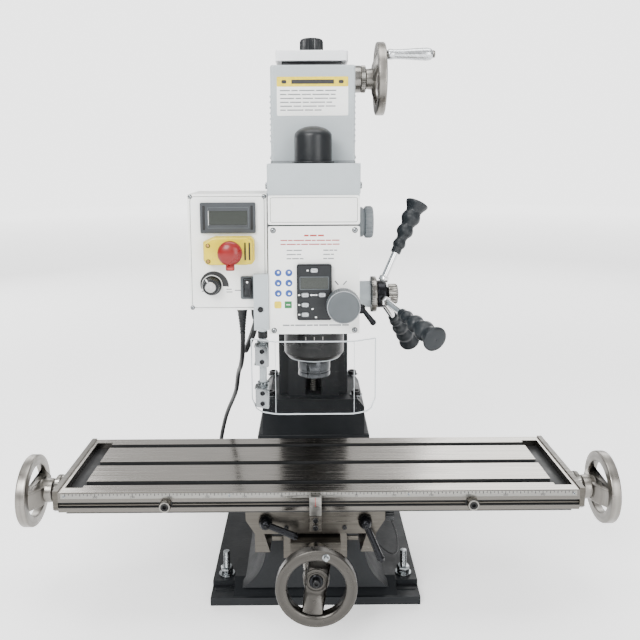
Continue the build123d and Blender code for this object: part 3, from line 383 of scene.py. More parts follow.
class Piece:
    """A piece being made: shapes in millimetres, each with its own material, joined into one mesh."""

    def __init__(self, name, body, slot, *replaced):
        self.name, self.body, self.slot, self.replaced = name, body, slot, replaced
        self.mesh, self.materials = bmesh.new(), []

    def __enter__(self):
        return self

    def __exit__(self, *problem):
        if problem[0]:
            return
        data = bpy.data.meshes.new(self.name)
        self.mesh.to_mesh(data)
        self.mesh.free()
        data.transform(Matrix.Scale(MM, 4))
        for material in self.materials:
            data.materials.append(material)
        data.shade_smooth()
        data.set_sharp_from_angle(angle=SHARP_EDGE)
        self.object = bpy.data.objects.new(self.name, data)
        bpy.context.scene.collection.objects.link(self.object)
        if self.body:
            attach(self.object, self.body)
        if self.replaced:
            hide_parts(*self.replaced)

    def take(self, part, material):
        """Adds a finished bmesh in one material."""
        material = material or MAT[self.slot]
        if material not in self.materials:
            self.materials.append(material)
        bmesh.ops.recalc_face_normals(part, faces=part.faces)
        for face in part.faces:
            face.material_index = self.materials.index(material)
        held = bpy.data.meshes.new("held")
        part.to_mesh(held)
        part.free()
        self.mesh.from_mesh(held)
        bpy.data.meshes.remove(held)

    def prism(self, outline, origin, across, up, depth, bevel=0.0, material=None, segments=2):
        """A flat outline in the plane of two directions, thickened by depth, with bevelled edges."""
        across, up, origin = Vector(across).normalized(), Vector(up).normalized(), Vector(origin)
        part = bmesh.new()
        ring = [part.verts.new(origin + across * p[0] + up * p[1]) for p in outline]
        face = part.faces.new(ring)
        moved = bmesh.ops.extrude_face_region(part, geom=[face])["geom"]
        shift = across.cross(up) * depth
        for vert in moved:
            if isinstance(vert, bmesh.types.BMVert):
                vert.co += shift
        if bevel:
            part.normal_update()
            bmesh.ops.recalc_face_normals(part, faces=part.faces)
            sharp = [e for e in part.edges if e.calc_face_angle(0) > BEVELLED_EDGE]
            bmesh.ops.bevel(part, geom=sharp, offset=bevel, segments=segments, affect="EDGES", profile=0.5)
        self.take(part, material)

    def block(self, low, high, bevel=0.4, material=None):
        """A box between two corners, with rounded edges."""
        outline = rect(low[0], low[1], high[0], high[1])
        self.prism(outline, (0, 0, low[2]), X, Y, high[2] - low[2], bevel, material)

    def panel(self, low, high, y, depth, corner=1.0, bevel=0.15, material=None):
        """A thin plate that faces the front, from y forward by depth, with rounded corners."""
        outline = rect(low[0], low[1], high[0], high[1])
        self.prism(rounded(outline, corner), (0, y, 0), X, Z, depth, bevel, material)

    def frame(self, low, high, y, depth, width, corner=2.0, material=None):
        """A thin rectangular line or bezel that faces the front."""
        part = bmesh.new()
        rings = []
        for inset in (0, width):
            outline = rect(low[0] + inset, low[1] + inset, high[0] - inset, high[1] - inset)
            flat = rounded(outline, max(0.3, corner - inset))
            rings.append([[part.verts.new((a, at, b)) for a, b in flat] for at in (y, y - depth)])
        (outer_back, outer_front), (inner_back, inner_front) = rings
        skin(part, [outer_back, outer_front, inner_front, inner_back, outer_back], capped=False)
        self.take(part, material)

    def turned(self, outline, origin, axis, material=None, segments=64, lobes=0):
        """Revolves (radius, distance) points round an axis; a third number is the depth of its lobes."""
        axis, origin = Vector(axis).normalized(), Vector(origin)
        first = axis.orthogonal().normalized()
        second = axis.cross(first)
        part, rings = bmesh.new(), []
        for point in outline:
            middle = origin + axis * point[1]
            depth = point[2] if len(point) > 2 else 0
            if point[0] < 1e-6:
                rings.append([part.verts.new(middle)])
                continue
            ring = []
            for k in range(segments):
                angle = tau * k / segments
                radius = point[0] - depth * (0.5 - 0.5 * cos(lobes * angle))
                ring.append(part.verts.new(middle + (first * cos(angle) + second * sin(angle)) * radius))
            rings.append(ring)
        pairs = list(zip(rings, rings[1:]))
        if len(rings[0]) > 1:
            pairs.append((rings[-1], rings[0]))
        for one, other in pairs:
            for k in range(segments):
                nxt = (k + 1) % segments
                corners = [one[k % len(one)], one[nxt % len(one)], other[nxt % len(other)],
                           other[k % len(other)]]
                face = list(dict.fromkeys(corners))
                if len(face) > 2:
                    part.faces.new(face)
        self.take(part, material)

    def tube(self, points, radius, material=None, segments=14):
        """A round tube along points; radius is a number or a function of the share of the way along."""
        points = [Vector(p) for p in points]
        part, rings = bmesh.new(), []
        direction = (points[1] - points[0]).normalized()
        side = direction.orthogonal().normalized()
        for k, point in enumerate(points):
            ahead = (points[min(k + 1, len(points) - 1)] - points[max(k - 1, 0)]).normalized()
            side = (side - ahead * side.dot(ahead)).normalized()
            other = ahead.cross(side)
            size = radius(k / (len(points) - 1)) if callable(radius) else radius
            angles = [tau * j / segments for j in range(segments)]
            rings.append([part.verts.new(point + (side * cos(a) + other * sin(a)) * size) for a in angles])
        skin(part, rings)
        self.take(part, material)

    def rod(self, start, axis, radius, length, bevel=0.4, material=None, segments=40):
        """A cylinder with rounded ends."""
        outline = rect(0, 0, radius, length)
        self.turned(rounded(outline, bevel, closed=False), start, axis, material, segments)

    def cap_screw(self, centre, axis, radius, height, material=None):
        """A socket head screw that stands on a face: knurled side and a hexagonal socket."""
        axis = Vector(axis).normalized()
        outline = [(0, height * 0.4), (radius * 0.5, height * 0.4), (radius * 0.5, height),
                   (radius * 0.86, height),
                   (radius, height * 0.86), (radius, 0), (0, 0)]
        self.turned(outline, centre, axis, material, 24)
        floor = Vector(centre) + axis * height * 0.42
        self.hexagon(floor, axis, radius * 0.56, height * 0.1, 0, SOCKET_DARK)

    def pan_screw(self, centre, axis, radius, material=None):
        """A small domed screw with a cross recess."""
        axis = Vector(axis).normalized()
        dome = [(0, 0), (radius, 0), (radius * 0.94, radius * 0.28), (radius * 0.6, radius * 0.5),
                (0, radius * 0.56)]
        self.turned(dome, centre, axis, material, 20)
        side = axis.orthogonal().normalized()
        for arm in (side, axis.cross(side)):
            half, thick = radius * 0.5, radius * 0.13
            base = Vector(centre) + axis * radius * 0.5
            corners = rect(-half, -thick, half, thick)
            self.prism(corners, base, arm, axis.cross(arm), radius * 0.1, 0, SOCKET_DARK)

    def hexagon(self, centre, axis, radius, height, bevel=0.5, material=None):
        """A hexagonal head or nut."""
        axis = Vector(axis).normalized()
        side = axis.orthogonal().normalized()
        corners = [(radius * cos(tau * k / 6), radius * sin(tau * k / 6)) for k in range(6)]
        self.prism(corners, centre, side, axis.cross(side), height, bevel, material)

    def thread(self, start, axis, radius, length, pitch, depth=0.6, material=None, segments=20):
        """A screw thread: one ridge wound round a core."""
        axis, start = Vector(axis).normalized(), Vector(start)
        side = axis.orthogonal().normalized()
        other = axis.cross(side)
        part, rings = bmesh.new(), []
        steps = int(length / pitch * 4)
        for row in range(steps + 1):
            ring = []
            for k in range(segments):
                angle = tau * k / segments
                wave = 0.5 + 0.5 * cos(tau * (row / 4 - k / segments))
                size = radius - depth * (1 - wave)
                place = start + axis * (length * row / steps)
                ring.append(part.verts.new(place + (side * cos(angle) + other * sin(angle)) * size))
            rings.append(ring)
        skin(part, rings)
        self.take(part, material)

    def number(self, text, size, centre, across, up, depth=0.12, material=None):
        """A printed or engraved number, standing slightly proud."""
        curve = bpy.data.curves.new("number", "FONT")
        curve.body, curve.size, curve.align_x, curve.align_y = text, size, "CENTER", "CENTER"
        curve.extrude, curve.resolution_u = depth / 2, 2
        holder = bpy.data.objects.new("number", curve)
        flat = bpy.data.meshes.new_from_object(holder)
        across, up = Vector(across).normalized(), Vector(up).normalized()
        turn = Matrix((across, up, across.cross(up))).transposed().to_4x4()
        flat.transform(Matrix.Translation(centre) @ turn)
        part = bmesh.new()
        part.from_mesh(flat)
        bpy.data.objects.remove(holder)
        bpy.data.curves.remove(curve)
        bpy.data.meshes.remove(flat)
        self.take(part, material)


# ---------------------------------------------------------------- cords
def route(points):
    """The smooth centreline, in metres, of a NURBS spline with these control points."""
    curve = bpy.data.curves.new("route", "CURVE")
    curve.dimensions, curve.resolution_u = "3D", 6
    line = curve.splines.new("NURBS")
    line.points.add(len(points) - 1)
    for control, place in zip(line.points, points):
        control.co = (*place, 1)
    line.order_u = 3
    line.use_endpoint_u = True
    holder = bpy.data.objects.new("route", curve)
    polyline = bpy.data.meshes.new_from_object(holder)
    centres = [v.co.copy() for v in polyline.vertices]
    bpy.data.objects.remove(holder)
    bpy.data.curves.remove(curve)
    bpy.data.meshes.remove(polyline)
    return centres


LEAD_SPLIT = (-0.122, -0.049, 0.289)
LEAD_UPPER = [(-0.101, -0.167, 0.423), (-0.101, -0.1635, 0.398), (-0.103, -0.148, 0.367),
              (-0.1095, -0.110, 0.333),
              (-0.1185, -0.068, 0.311), LEAD_SPLIT]
LEAD_LOWER = [LEAD_SPLIT, (-0.125, -0.033, 0.2705), (-0.136, 0.004, 0.240), (-0.150, 0.036, 0.206),
              (-0.161, 0.058, 0.166), (-0.1685, 0.072, 0.126), (-0.174, 0.088, 0.084), (-0.178, 0.110, 0.042),
              (-0.180, 0.144, 0.012), (-0.178, 0.184, 0.004), (-0.168, 0.222, 0.0038)]
LEAD_TAIL = [(-0.068, 0.3045, 0.0108), (-0.050, 0.296, 0.0112), (-0.041, 0.279, 0.0116),
             (-0.033, 0.262, 0.012),
             (-0.020, 0.2545, 0.012), (-0.003, 0.254, 0.012)]
CONDUIT = [(-0.082, -0.163, 0.423), (-0.0828, -0.162, 0.406), (-0.0895, -0.151, 0.386),
           (-0.0985, -0.137, 0.367),
           (-0.102, -0.118, 0.357), (-0.0995, -0.100, 0.362), (-0.0925, -0.089, 0.381),
           (-0.0862, -0.0855, 0.404),
           (-0.0848, -0.085, 0.421), (-0.0793, -0.085, 0.435), (-0.0687, -0.085, 0.4456)]
LEAD_DIAMETER, CONDUIT_DIAMETER = 0.007, 0.008
COIL_CENTRE, COIL_OUTER, COIL_INNER = (-0.098, 0.262), 0.0456, 0.0306


def coil_turns():
    """Two layers of turns, wound inwards on the floor and outwards on top of that."""
    points, step = [], 22.5
    for k in range(1, 70):
        sweep = k * step
        if sweep <= 720:
            radius, height = COIL_OUTER - (COIL_OUTER - COIL_INNER) * sweep / 720, 0.0036
        elif sweep <= 810:
            radius, height = COIL_INNER, 0.0036 + 0.0072 * (sweep - 720) / 90
        else:
            radius, height = COIL_INNER + 0.0072 * (sweep - 810) / 360, 0.0108
        angle = radians(195 - sweep)
        points.append((COIL_CENTRE[0] + radius * cos(angle), COIL_CENTRE[1] + radius * sin(angle), height))
    return points


def mains_plug():
    """Generic moulded two-pin plug lying beside the coil."""
    low, high = box("mains_plug")
    back, front, middle = low.x + 17, high.x - 19, (low.y + high.y) / 2
    with Piece("plug_body", "frame", "black_plastic", "mains_plug") as plug:
        outline = [(back, -7), (back + 6, -13), (back + 16, -17.5), (front - 3, -18), (front, -14)]
        outline += [(a, -b) for a, b in reversed(outline)]
        plug.prism(rounded(outline, 5), (0, middle, 0.4), X, Y, 23, 2.4, segments=3)
        for k in range(5):
            plug.turned(rounded(rect(3.6, 0, 7 - 0.5 * k, 2.2), 0.5),
                        (back - 2.6 - 3.1 * k, middle, 12), X, segments=32)
        plug.turned([(3.6, 0), (5.4, 0), (4.2, -16), (3.6, -16)], (back + 0.5, middle, 12), X, segments=32)
        for y in (-6, 6):
            plug.rod((front - 1, middle + y, 12), X, 2.4, 19.8, 1.2, ZINC)
            plug.rod((front - 1, middle + y, 12), X, 2.7, 10, 0.3)
    return plug.object


def make_cords():
    """The mains lead in two lengths that meet in mid-air, and the motor's cable."""
    upper = route(LEAD_UPPER)
    with Piece("mains_lead_from_box", None, "cable_black", "mains_lead_upper") as piece:
        piece.tube([p / MM for p in upper], LEAD_DIAMETER / 2 / MM)
    lead = piece.object
    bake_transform(lead)
    lower = route(LEAD_LOWER + coil_turns() + LEAD_TAIL)
    with Piece("mains_lead_to_plug", None, "cable_black", "mains_lead_lower", "lead_coil") as piece:
        piece.tube([p / MM for p in lower], LEAD_DIAMETER / 2 / MM)
    lead = piece.object
    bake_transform(lead)
    plug = mains_plug()
    cable = route(CONDUIT)
    with Piece("motor_cable", "head", "cable_black", "motor_conduit") as piece:
        piece.tube([p / MM for p in cable], CONDUIT_DIAMETER / 2 / MM)


make_cords()


# ---------------------------------------------------------------- floor and light
def make_stage():
    """A pale floor under the machine that glows as painted light, faintly near the machine and more strongly
    further out.
    """
    mesh = bmesh.new()
    bmesh.ops.create_circle(mesh, cap_ends=True, segments=96, radius=9)
    data = bpy.data.meshes.new("floor")
    mesh.to_mesh(data)
    mesh.free()
    floor = bpy.data.objects.new("floor", data)
    bpy.context.scene.collection.objects.link(floor)
    made = Shader("floor_glow", 0.7)
    clouds = made.spread(made.noise(1.3, 3), 0, 1)
    made.set("Base Color", made.blend(clouds, (0.88, 0.88, 0.88), (0.92, 0.92, 0.92)))
    # Painted light: the floor's emission rises with the distance from the machine.
    made.set("Emission Color", (1, 1, 1, 1))
    away = made.node("ShaderNodeVectorMath", {0: made.where}, operation="LENGTH").outputs["Value"]
    made.set("Emission Strength", made.spread(away, 0.55, 2.3, 1.2, 7.5))
    data.materials.append(made.material)


def area_light(name, place, target, size, power):
    """A large soft lamp that points at a target."""
    data = bpy.data.lights.new(name, "AREA")
    data.shape, data.size, data.size_y = "RECTANGLE", size[0], size[1]
    data.energy = power
    lamp = bpy.data.objects.new(name, data)
    bpy.context.scene.collection.objects.link(lamp)
    lamp.location = place
    lamp.rotation_euler = (Vector(target) - Vector(place)).to_track_quat("-Z", "Y").to_euler()


def make_light():
    """A pale surround, darker near the ground, a big lamp from the upper left, fills and a lamp behind."""
    world = bpy.data.worlds.new("surround")
    world.use_nodes = True
    nodes, links = world.node_tree.nodes, world.node_tree.links
    room = nodes["Background"]
    where = nodes.new("ShaderNodeTexCoord")
    height = nodes.new("ShaderNodeSeparateXYZ")
    links.new(where.outputs["Generated"], height.inputs[0])
    ramp = nodes.new("ShaderNodeValToRGB")
    rise = nodes.new("ShaderNodeMapRange")
    rise.inputs["From Min"].default_value = -1.0
    links.new(height.outputs["Z"], rise.inputs["Value"])
    links.new(rise.outputs["Result"], ramp.inputs["Fac"])
    stops = [(0.0, 0.16), (0.46, 0.24), (0.53, 0.42), (0.66, 0.95), (0.85, 1.0), (1.0, 0.8)]
    while len(ramp.color_ramp.elements) < len(stops):
        ramp.color_ramp.elements.new(0.5)
    for element, (position, value) in zip(ramp.color_ramp.elements, stops):
        element.position, element.color = position, (value, value, value, 1)
    links.new(ramp.outputs["Color"], room.inputs["Color"])
    room.inputs["Strength"].default_value = 1.15
    backdrop = nodes.new("ShaderNodeBackground")
    backdrop.inputs["Color"].default_value = (1, 1, 1, 1)
    backdrop.inputs["Strength"].default_value = 3.2
    ray, pick = nodes.new("ShaderNodeLightPath"), nodes.new("ShaderNodeMixShader")
    links.new(ray.outputs["Is Camera Ray"], pick.inputs[0])
    links.new(room.outputs[0], pick.inputs[1])
    links.new(backdrop.outputs[0], pick.inputs[2])
    links.new(pick.outputs[0], nodes["World Output"].inputs["Surface"])
    bpy.context.scene.world = world
    area_light("key", (-1.3, -2.6, 2.2), (0, -0.1, 0.35), (1.5, 1.5), 135)
    area_light("fill", (1.4, -2.6, 1.1), (0, -0.1, 0.35), (1.2, 1.8), 44)
    area_light("top", (0, -0.2, 2.8), (0, -0.1, 0.2), (2.4, 1.4), 60)
    area_light("back", (1.3, 2.4, 1.8), (0, 0, 0.4), (1.6, 1.6), 38)
    area_light("back_left", (-1.8, 2.0, 1.4), (0, 0, 0.4), (1.4, 1.6), 34)


make_stage()
make_light()


# ---------------------------------------------------------------- handwheels, dials and screws
def handwheel(piece, centre, out, along, radius, hub_length, dish, metal):
    """Turned rim, dished flat bar with two spokes, and a hub with a washer and a centre screw."""
    centre, out, along = Vector(centre), Vector(out), Vector(along).normalized()
    inner, half_bar, face = radius * 0.72, 0.26 * radius, 4 - dish
    rim = [(inner, -6), (inner + 1, -7), (radius - 1, -7), (radius, -5.5), (radius, 5.5), (radius - 1, 7),
           (inner + 3, 7), (inner, 5)]
    piece.turned(rounded(rim, 1.6), centre, out, metal, 112)
    bar = [(-inner - 1.5, -4.5), (-inner - 1.5, 4), (-17, face), (17, face), (inner + 1.5, 4),
           (inner + 1.5, -4.5),
           (18, face - 8), (-18, face - 8)]
    normal = along.cross(out)
    piece.prism(rounded(bar, 5), centre - normal * half_bar, along, out, 2 * half_bar, 1.4, metal, 3)
    hub = [(0, -hub_length), (15, -hub_length), (16.6, 1 - hub_length), (17.6, face - 8), (16.8, face - 4),
           (16.8, face - 1),
           (15.8, face + 0.8), (13.4, face + 0.8), (12.9, face + 0.1), (11.6, face + 0.1), (11.1, face + 0.8),
           (0, face + 0.8)]
    piece.turned(hub, centre, out, metal, 72)
    piece.turned([(0, 0), (9, 0), (9, 1.4), (8.4, 1.9), (0, 1.9)], centre + out * (face + 0.8), out, BLUED,
                 48)
    piece.cap_screw(centre + out * (face + 2.6), out, 5.2, 5, BLACK)


DIAL_LINES = 50


def graduated(piece, centre, out, radius, length, metal):
    """A graduated collar: engraved lines round its edge, numbers, and a knurled grip ring."""
    centre, out = Vector(centre), Vector(out)
    grip = length * 0.34
    body = [(0, 0), (radius - 0.8, 0), (radius, 0.8), (radius, length - grip - 1.2),
            (radius - 1.2, length - grip)]
    body += [(radius + 0.2, length - grip + 0.8, 0.9), (radius + 0.2, length - 1.2, 0.9)]
    body += [(radius - 2.4, length), (0, length)]
    piece.turned(body, centre, out, metal, 160, 40)
    side = out.orthogonal().normalized()
    other = out.cross(side)
    for k in range(DIAL_LINES):
        angle = tau * k / DIAL_LINES
        radial = side * cos(angle) + other * sin(angle)
        tangent = out.cross(radial)
        reach = 5.2 if k % 10 == 0 else 4.0 if k % 5 == 0 else 2.8
        corners = rect(-0.22, 0.9, 0.22, reach)
        piece.prism(corners, centre + radial * (radius - 0.1), tangent, out, 0.22, 0, BLACK_INK)
        if k % 10 == 0:
            place = centre + radial * (radius + 0.02) + out * 7.6
            piece.number(str(k // 10 * 2), 3.4, place, tangent, out, material=BLACK_INK)


def table_wheels():
    """Wheels, collars and the visible ends of the table's screw."""
    low, high = box("x_handwheels")
    middle = (low + high) / 2
    with Piece("table_handwheels", "x_screw", "polished_alloy", "x_handwheels") as piece:
        for side in (-1, 1):
            rim = low.x + 7 if side < 0 else high.x - 7
            handwheel(piece, (rim, middle.y, middle.z), (side, 0, 0), (0, 1, 0.08), 51, 32, 18,
                      MAT["polished_alloy"])
    dial_low, dial_high = box("x_dials")
    with Piece("table_dials", "x_screw", "bright_steel", "x_dials") as piece:
        for side, start in ((-1, dial_low.x + 22), (1, dial_high.x - 22)):
            graduated(piece, (start, middle.y, middle.z), (side, 0, 0), 22, 22, BRIGHT)


def front_wheel():
    """The cross feed's wheel with the stub for its crank handle, and its collar."""
    low, high = box("y_dial")
    centre = Vector(Y_SHAFT)
    with Piece("cross_handwheel", "y_screw", "polished_alloy", "handwheel_front") as piece:
        handwheel(piece, centre, -Y, (0.14, 0, 0.99), 51, 22, 16, WHEEL_Y_SHADED)
        stub = centre + Vector((12, -5, 43))
        piece.turned([(0, 0), (4.6, 0), (4.6, 3), (3.2, 3.6), (3.2, 6.6), (2.4, 7.6), (0, 7.8)], stub, -Y,
                     ZINC, 32)
    with Piece("cross_dial", "y_screw", "bright_steel", "y_dial") as piece:
        start = (centre.x, high.y, centre.z)
        graduated(piece, start, -Y, 16.8, 30, STEEL_Y)
        piece.rod((centre.x, high.y - 30, centre.z), -Y, 12.5, high.y - low.y - 30, 1, STEEL_Y)


def lifting_wheel():
    """The lifting crank's wheel and collar, and the handle that turns on it."""
    low, high = box("z_dial")
    grip_low, grip_high = box("z_crank_handle")
    handle = (grip_low + grip_high) / 2
    centre = Vector((114, Z_SHAFT[1], Z_SHAFT[2]))
    along = Vector((0, Z_SHAFT[1] - handle.y, Z_SHAFT[2] - handle.z))
    with Piece("lifting_handwheel", "z_crank", "polished_alloy", "z_handwheel") as piece:
        handwheel(piece, centre, X, along, 60, 24, 10, WHEEL_Z)
        piece.turned([(0, 0), (8.4, 0), (8.4, 2), (7, 3), (7, 9), (6, 10.2), (0, 10.2)],
                     (113, handle.y, handle.z), X,
                     STEEL_Z, 40)
        piece.rod((120, handle.y, handle.z), X, 4, 78.5, 0.5, STEEL_Z)
        piece.turned([(0, 0), (6, 0), (6.4, 1), (5.4, 3.2), (0, 4)], (grip_high.x + 0.5, handle.y, handle.z),
                     X,
                     STEEL_Z, 32)
    with Piece("lifting_dial", "z_crank", "bright_steel", "z_dial") as piece:
        graduated(piece, (low.x, centre.y, centre.z), X, 22.3, high.x - low.x, STEEL_Z)
    with Piece("lifting_grip", "z_crank_handle", "bright_steel", "z_crank_handle") as piece:
        barrel = [(4.1, 0), (7.2, 0), (8.4, 2), (8.7, 6), (7.7, 10), (7.9, 22), (9.3, 42), (10.3, 58),
                  (10.4, 64),
                  (9.4, 70), (6.8, 73.2), (4.1, 73.2)]
        piece.turned(rounded(barrel, 3), (grip_low.x, handle.y, handle.z), X, GRIP_STEEL, 56)
    with Piece("crank_bearing_ring", "frame", "zinc_steel") as piece:
        ring = [(9, 0), (23.6, 0), (23.6, 4.2), (22.4, 5.2), (12, 5.2), (11, 4.4), (9, 4.4)]
        piece.turned(ring, (60.2, centre.y, centre.z), X, STEEL_Z, 64)
        for k in range(3):
            angle = radians(90 + 120 * k)
            piece.cap_screw((65.2, centre.y + 18 * cos(angle), centre.z + 18 * sin(angle)), X, 2.6, 1.2,
                            BLACK)


def lifting_screw():
    """The column's lifting screw with a real thread, and its bevel gear."""
    with Piece("threaded_lifting_screw", "z_screw", "bright_steel", "z_leadscrew") as piece:
        piece.thread((0, Z_SHAFT[1], 236), Z, 9, 540, 4, 1.1, SCREW_STEEL)
        piece.rod((0, Z_SHAFT[1], 770), Z, 8.9, 36, 0.5, SCREW_STEEL)
        piece.turned([(0, 779), (8, 779), (12, 786, 1.4), (8, 787, 1.4), (0, 787)], (0, Z_SHAFT[1], 0), Z,
                     SCREW_STEEL,
                     144, 18)


# ---------------------------------------------------------------- table and saddle
def scale_strip():
    """Steel rule along the table's front edge, with lines every 5 mm and numbers every 50 mm."""
    left, right, face = TABLE_LOW.x + 4, TABLE_HIGH.x - 4, TABLE_LOW.y
    bottom, top = 191.4, 198.8
    with Piece("table_rule", "table", "bright_steel") as piece:
        outline = rect(left, bottom, right, top)
        piece.prism(outline, (0, face, 0), X, Z, 0.8, 0.15, SCALE_METAL)
        middle = (left + right) / 2
        for k in range(-68, 69):
            x, tall = middle + 5 * k, 4.2 if k % 10 == 0 else 3.4 if k % 2 == 0 else 2.2
            corners = rect(x - 0.5, top - 0.4 - tall, x + 0.5, top - 0.4)
            piece.prism(corners, (0, face - 0.75, 0), X, Z, 0.12, 0, BLACK_INK)
            if k % 10 == 0:
                piece.number(str(abs(k) * 5), 4.4, (x, face - 0.86, bottom + 2.1), X, Z, material=BLACK_INK)
        for x in (left + 4, middle - 120, middle + 120, right - 4):
            piece.pan_screw((x, face - 0.7, (top + bottom) / 2 - 0.3), -Y, 1.9, ZINC)


def table_fittings():
    """Stop dogs in the front groove, bracket screws, and dark sheets of painted shade in the slots, the front
    groove and under the table's front edge.
    """
    with Piece("stop_dogs", "table", "black_steel", "table_stops") as piece:
        for x in ((TABLE_LOW.x + TABLE_HIGH.x) / 2 + side * 206 for side in (-1, 1)):
            face = TABLE_LOW.y
            piece.block((x - 9, face + 0.5, 178.4), (x + 9, face + 3.6, 185.6), 0.4)
            ring = [(0, 0), (8, 0), (8, 7.6, 0.5), (7.2, 9), (5.4, 9), (5, 8.4), (4.6, 4.5), (0, 4.5)]
            piece.turned(ring, (x, face + 1, 182), -Y, STEEL_Y, 96, 32)
            piece.hexagon((x, face - 3.2, 182), -Y, 4.4, 0.4, 0, SOCKET_DARK)
            piece.turned(rect(3.0, 0, 4.6, 4.8), (x, face - 3.2, 182), -Y, SOCKET_DARK, 24)
    with Piece("bracket_screws", "table", "black_steel") as piece:
        for side, face in ((-1, TABLE_LOW.x - 7), (1, TABLE_HIGH.x + 7)):
            for y in (TABLE_LOW.y + 14, -195, -119, TABLE_HIGH.y - 14):
                piece.cap_screw((face, y, 187), (side, 0, 0), 4.2, 3.2)
            piece.turned([(8.5, 0), (20, 0), (19, 1.2), (9.5, 1.2)], (face + side * 4, SPINDLE[1], 160),
                         (side, 0, 0),
                         BRIGHT, 64)
    # Painted shade: dark sheets on the back, top and bottom of the front groove, round its machined ridge.
    with Piece("groove_shade_and_ridge", "table", "table_steel") as piece:
        left, right, face = TABLE_LOW.x + 0.5, TABLE_HIGH.x - 0.5, TABLE_LOW.y
        piece.block((left, face + 3.2, 178.1), (right, face + 3.9, 185.9), 0.05, PAINTED_SHADE_DARK)
        piece.block((left, face + 0.3, 185.2), (right, face + 3.3, 185.9), 0.05, PAINTED_SHADE_DARK)
        piece.block((left, face + 0.3, 178.1), (right, face + 3.3, 178.9), 0.05, PAINTED_SHADE_DARK)
        piece.block((left, face + 1.0, 180.8), (right, face + 3.4, 182.6), 0.3, MAT["machined_iron"])
        # Painted shadow: a dark strip under the table's front edge.
        piece.block((left + 10, face + 0.15, 170.3), (right - 10, face + 6, 171.95), 0.2, PAINTED_SHADE_DARK)
    # Painted shade: dark sheets on the floors and walls of the T-slots and on the floors of the end troughs.
    with Piece("slot_shade_sheets", "table", "table_steel") as piece:
        left, right = TABLE_LOW.x + 29.2, TABLE_HIGH.x - 29.2
        for k in (-1, 0, 1):
            y = SPINDLE[1] + 63 * k
            piece.block((left - 24, y - 9.9, 186), (right + 24, y + 9.9, 186.3), 0.05, PAINTED_SHADE_DARK)
            for side in (-1, 1):
                piece.block((left, y + side * 6.02 - 0.25, 186.4), (right, y + side * 6.02 + 0.25, 199.2),
                            0.05, PAINTED_SHADE_DARK)
        for low, high in ((TABLE_LOW.x + 5.1, TABLE_LOW.x + 28.9), (TABLE_HIGH.x - 28.9, TABLE_HIGH.x - 5.1)):
            piece.block((low, TABLE_LOW.y + 14.1, 189.9), (high, TABLE_HIGH.y - 14.1, 190.4), 0.05, PAINTED_SHADE_DARK)


def saddle_fittings():
    """Index pointer, clamp levers, gib screws and the oiler of the saddle."""
    low, high = box("saddle_casting")
    face = low.y
    with Piece("index_block", "saddle", "bright_steel", "pointer_block") as piece:
        piece.block((-8, -258, 148), (8, face, 170), 0.8, MAT["machined_iron"])
        piece.prism(rounded(rect(-8, 170.2, 8, 197), 1.6), (0, -248.5, 0), X, Z, 9.5, 0.8,
                    SCALE_METAL)
        piece.block((-0.4, -258.25, 184), (0.4, -257.9, 196), 0.02, RED_INK)
        for z in (154, 164.5):
            piece.cap_screw((0, -258, z), -Y, 3.4, 2.4, BLACK)
    for name, tip in (("left", (-28, 137)), ("right", (88, 104))):
        hub_low, hub_high = box(f"saddle_lever_{name}")
        x = -68 if name == "left" else 68
        with Piece(f"clamp_lever_{name}", f"saddle_lever_{name}", "black_steel",
                   f"saddle_lever_{name}") as piece:
            hub = [(0, -10), (5, -10), (5, 0.4), (9.2, 0.6), (9.6, 4), (8.4, 9), (6.4, 13), (4.6, 15.6),
                   (0, 16)]
            piece.turned(rounded(hub, 1.5, closed=False), (x, face - 0.4, 150), -Y, BLUED, 48)
            start, end = Vector((x, face - 9, 150)), Vector((tip[0], face - 17, tip[1]))
            points = [start.lerp(end, t / 12) for t in range(13)]
            piece.tube(points, lambda t: 4.4 + 1.0 * max(0, t - 0.5), BLUED, 24)
            piece.turned([(0, -5.4), (3.6, -4.2), (5.4, 0), (3.6, 4.2), (0, 5.4)], end, end - start, BLUED,
                         24)
            piece.cap_screw((x, face - 16, 150), -Y, 3, 1.6, BLUED)
    with Piece("saddle_screws", "saddle", "black_steel") as piece:
        for y in (-200, -157, -114):
            piece.cap_screw((high.x, y, 160), X, 3.6, 2.8)
            piece.hexagon((high.x + 2.4, y + 14, 160), X, 4, 3, 0.4)
        for y in (-205, -152, -99):
            piece.cap_screw((high.x - 12.6, y, 118), X, 3.4, 2.6)
            piece.hexagon((high.x - 10.2, y + 13, 118), X, 3.8, 3, 0.4)
        for x in (-40, 40):
            piece.cap_screw((x, face, 140), -Y, 3.2, 1.6)
    with Piece("saddle_oiler", "saddle", "black_plastic") as piece:
        knob = [(0, 0), (7, 0, 0.6), (8, 2, 0.9), (8, 10, 0.9), (6.4, 13, 0.4), (0, 13.5)]
        piece.turned(knob, (high.x + 0.2, face + 12, 152), X, None, 90, 15)
        line = route([p * MM for p in (Vector((high.x + 9, face + 10, 146)),
                                       Vector((high.x + 15, face + 2, 134)),
                                       Vector((high.x + 18, face - 2, 116)), Vector((high.x + 16, face, 100)),
                                       Vector((high.x + 4, face + 10, 96)),
                                       Vector((high.x - 12.8, face + 16, 110)))])
        piece.tube([p / MM for p in line], 1.3, MAT["cable_black"], 10)


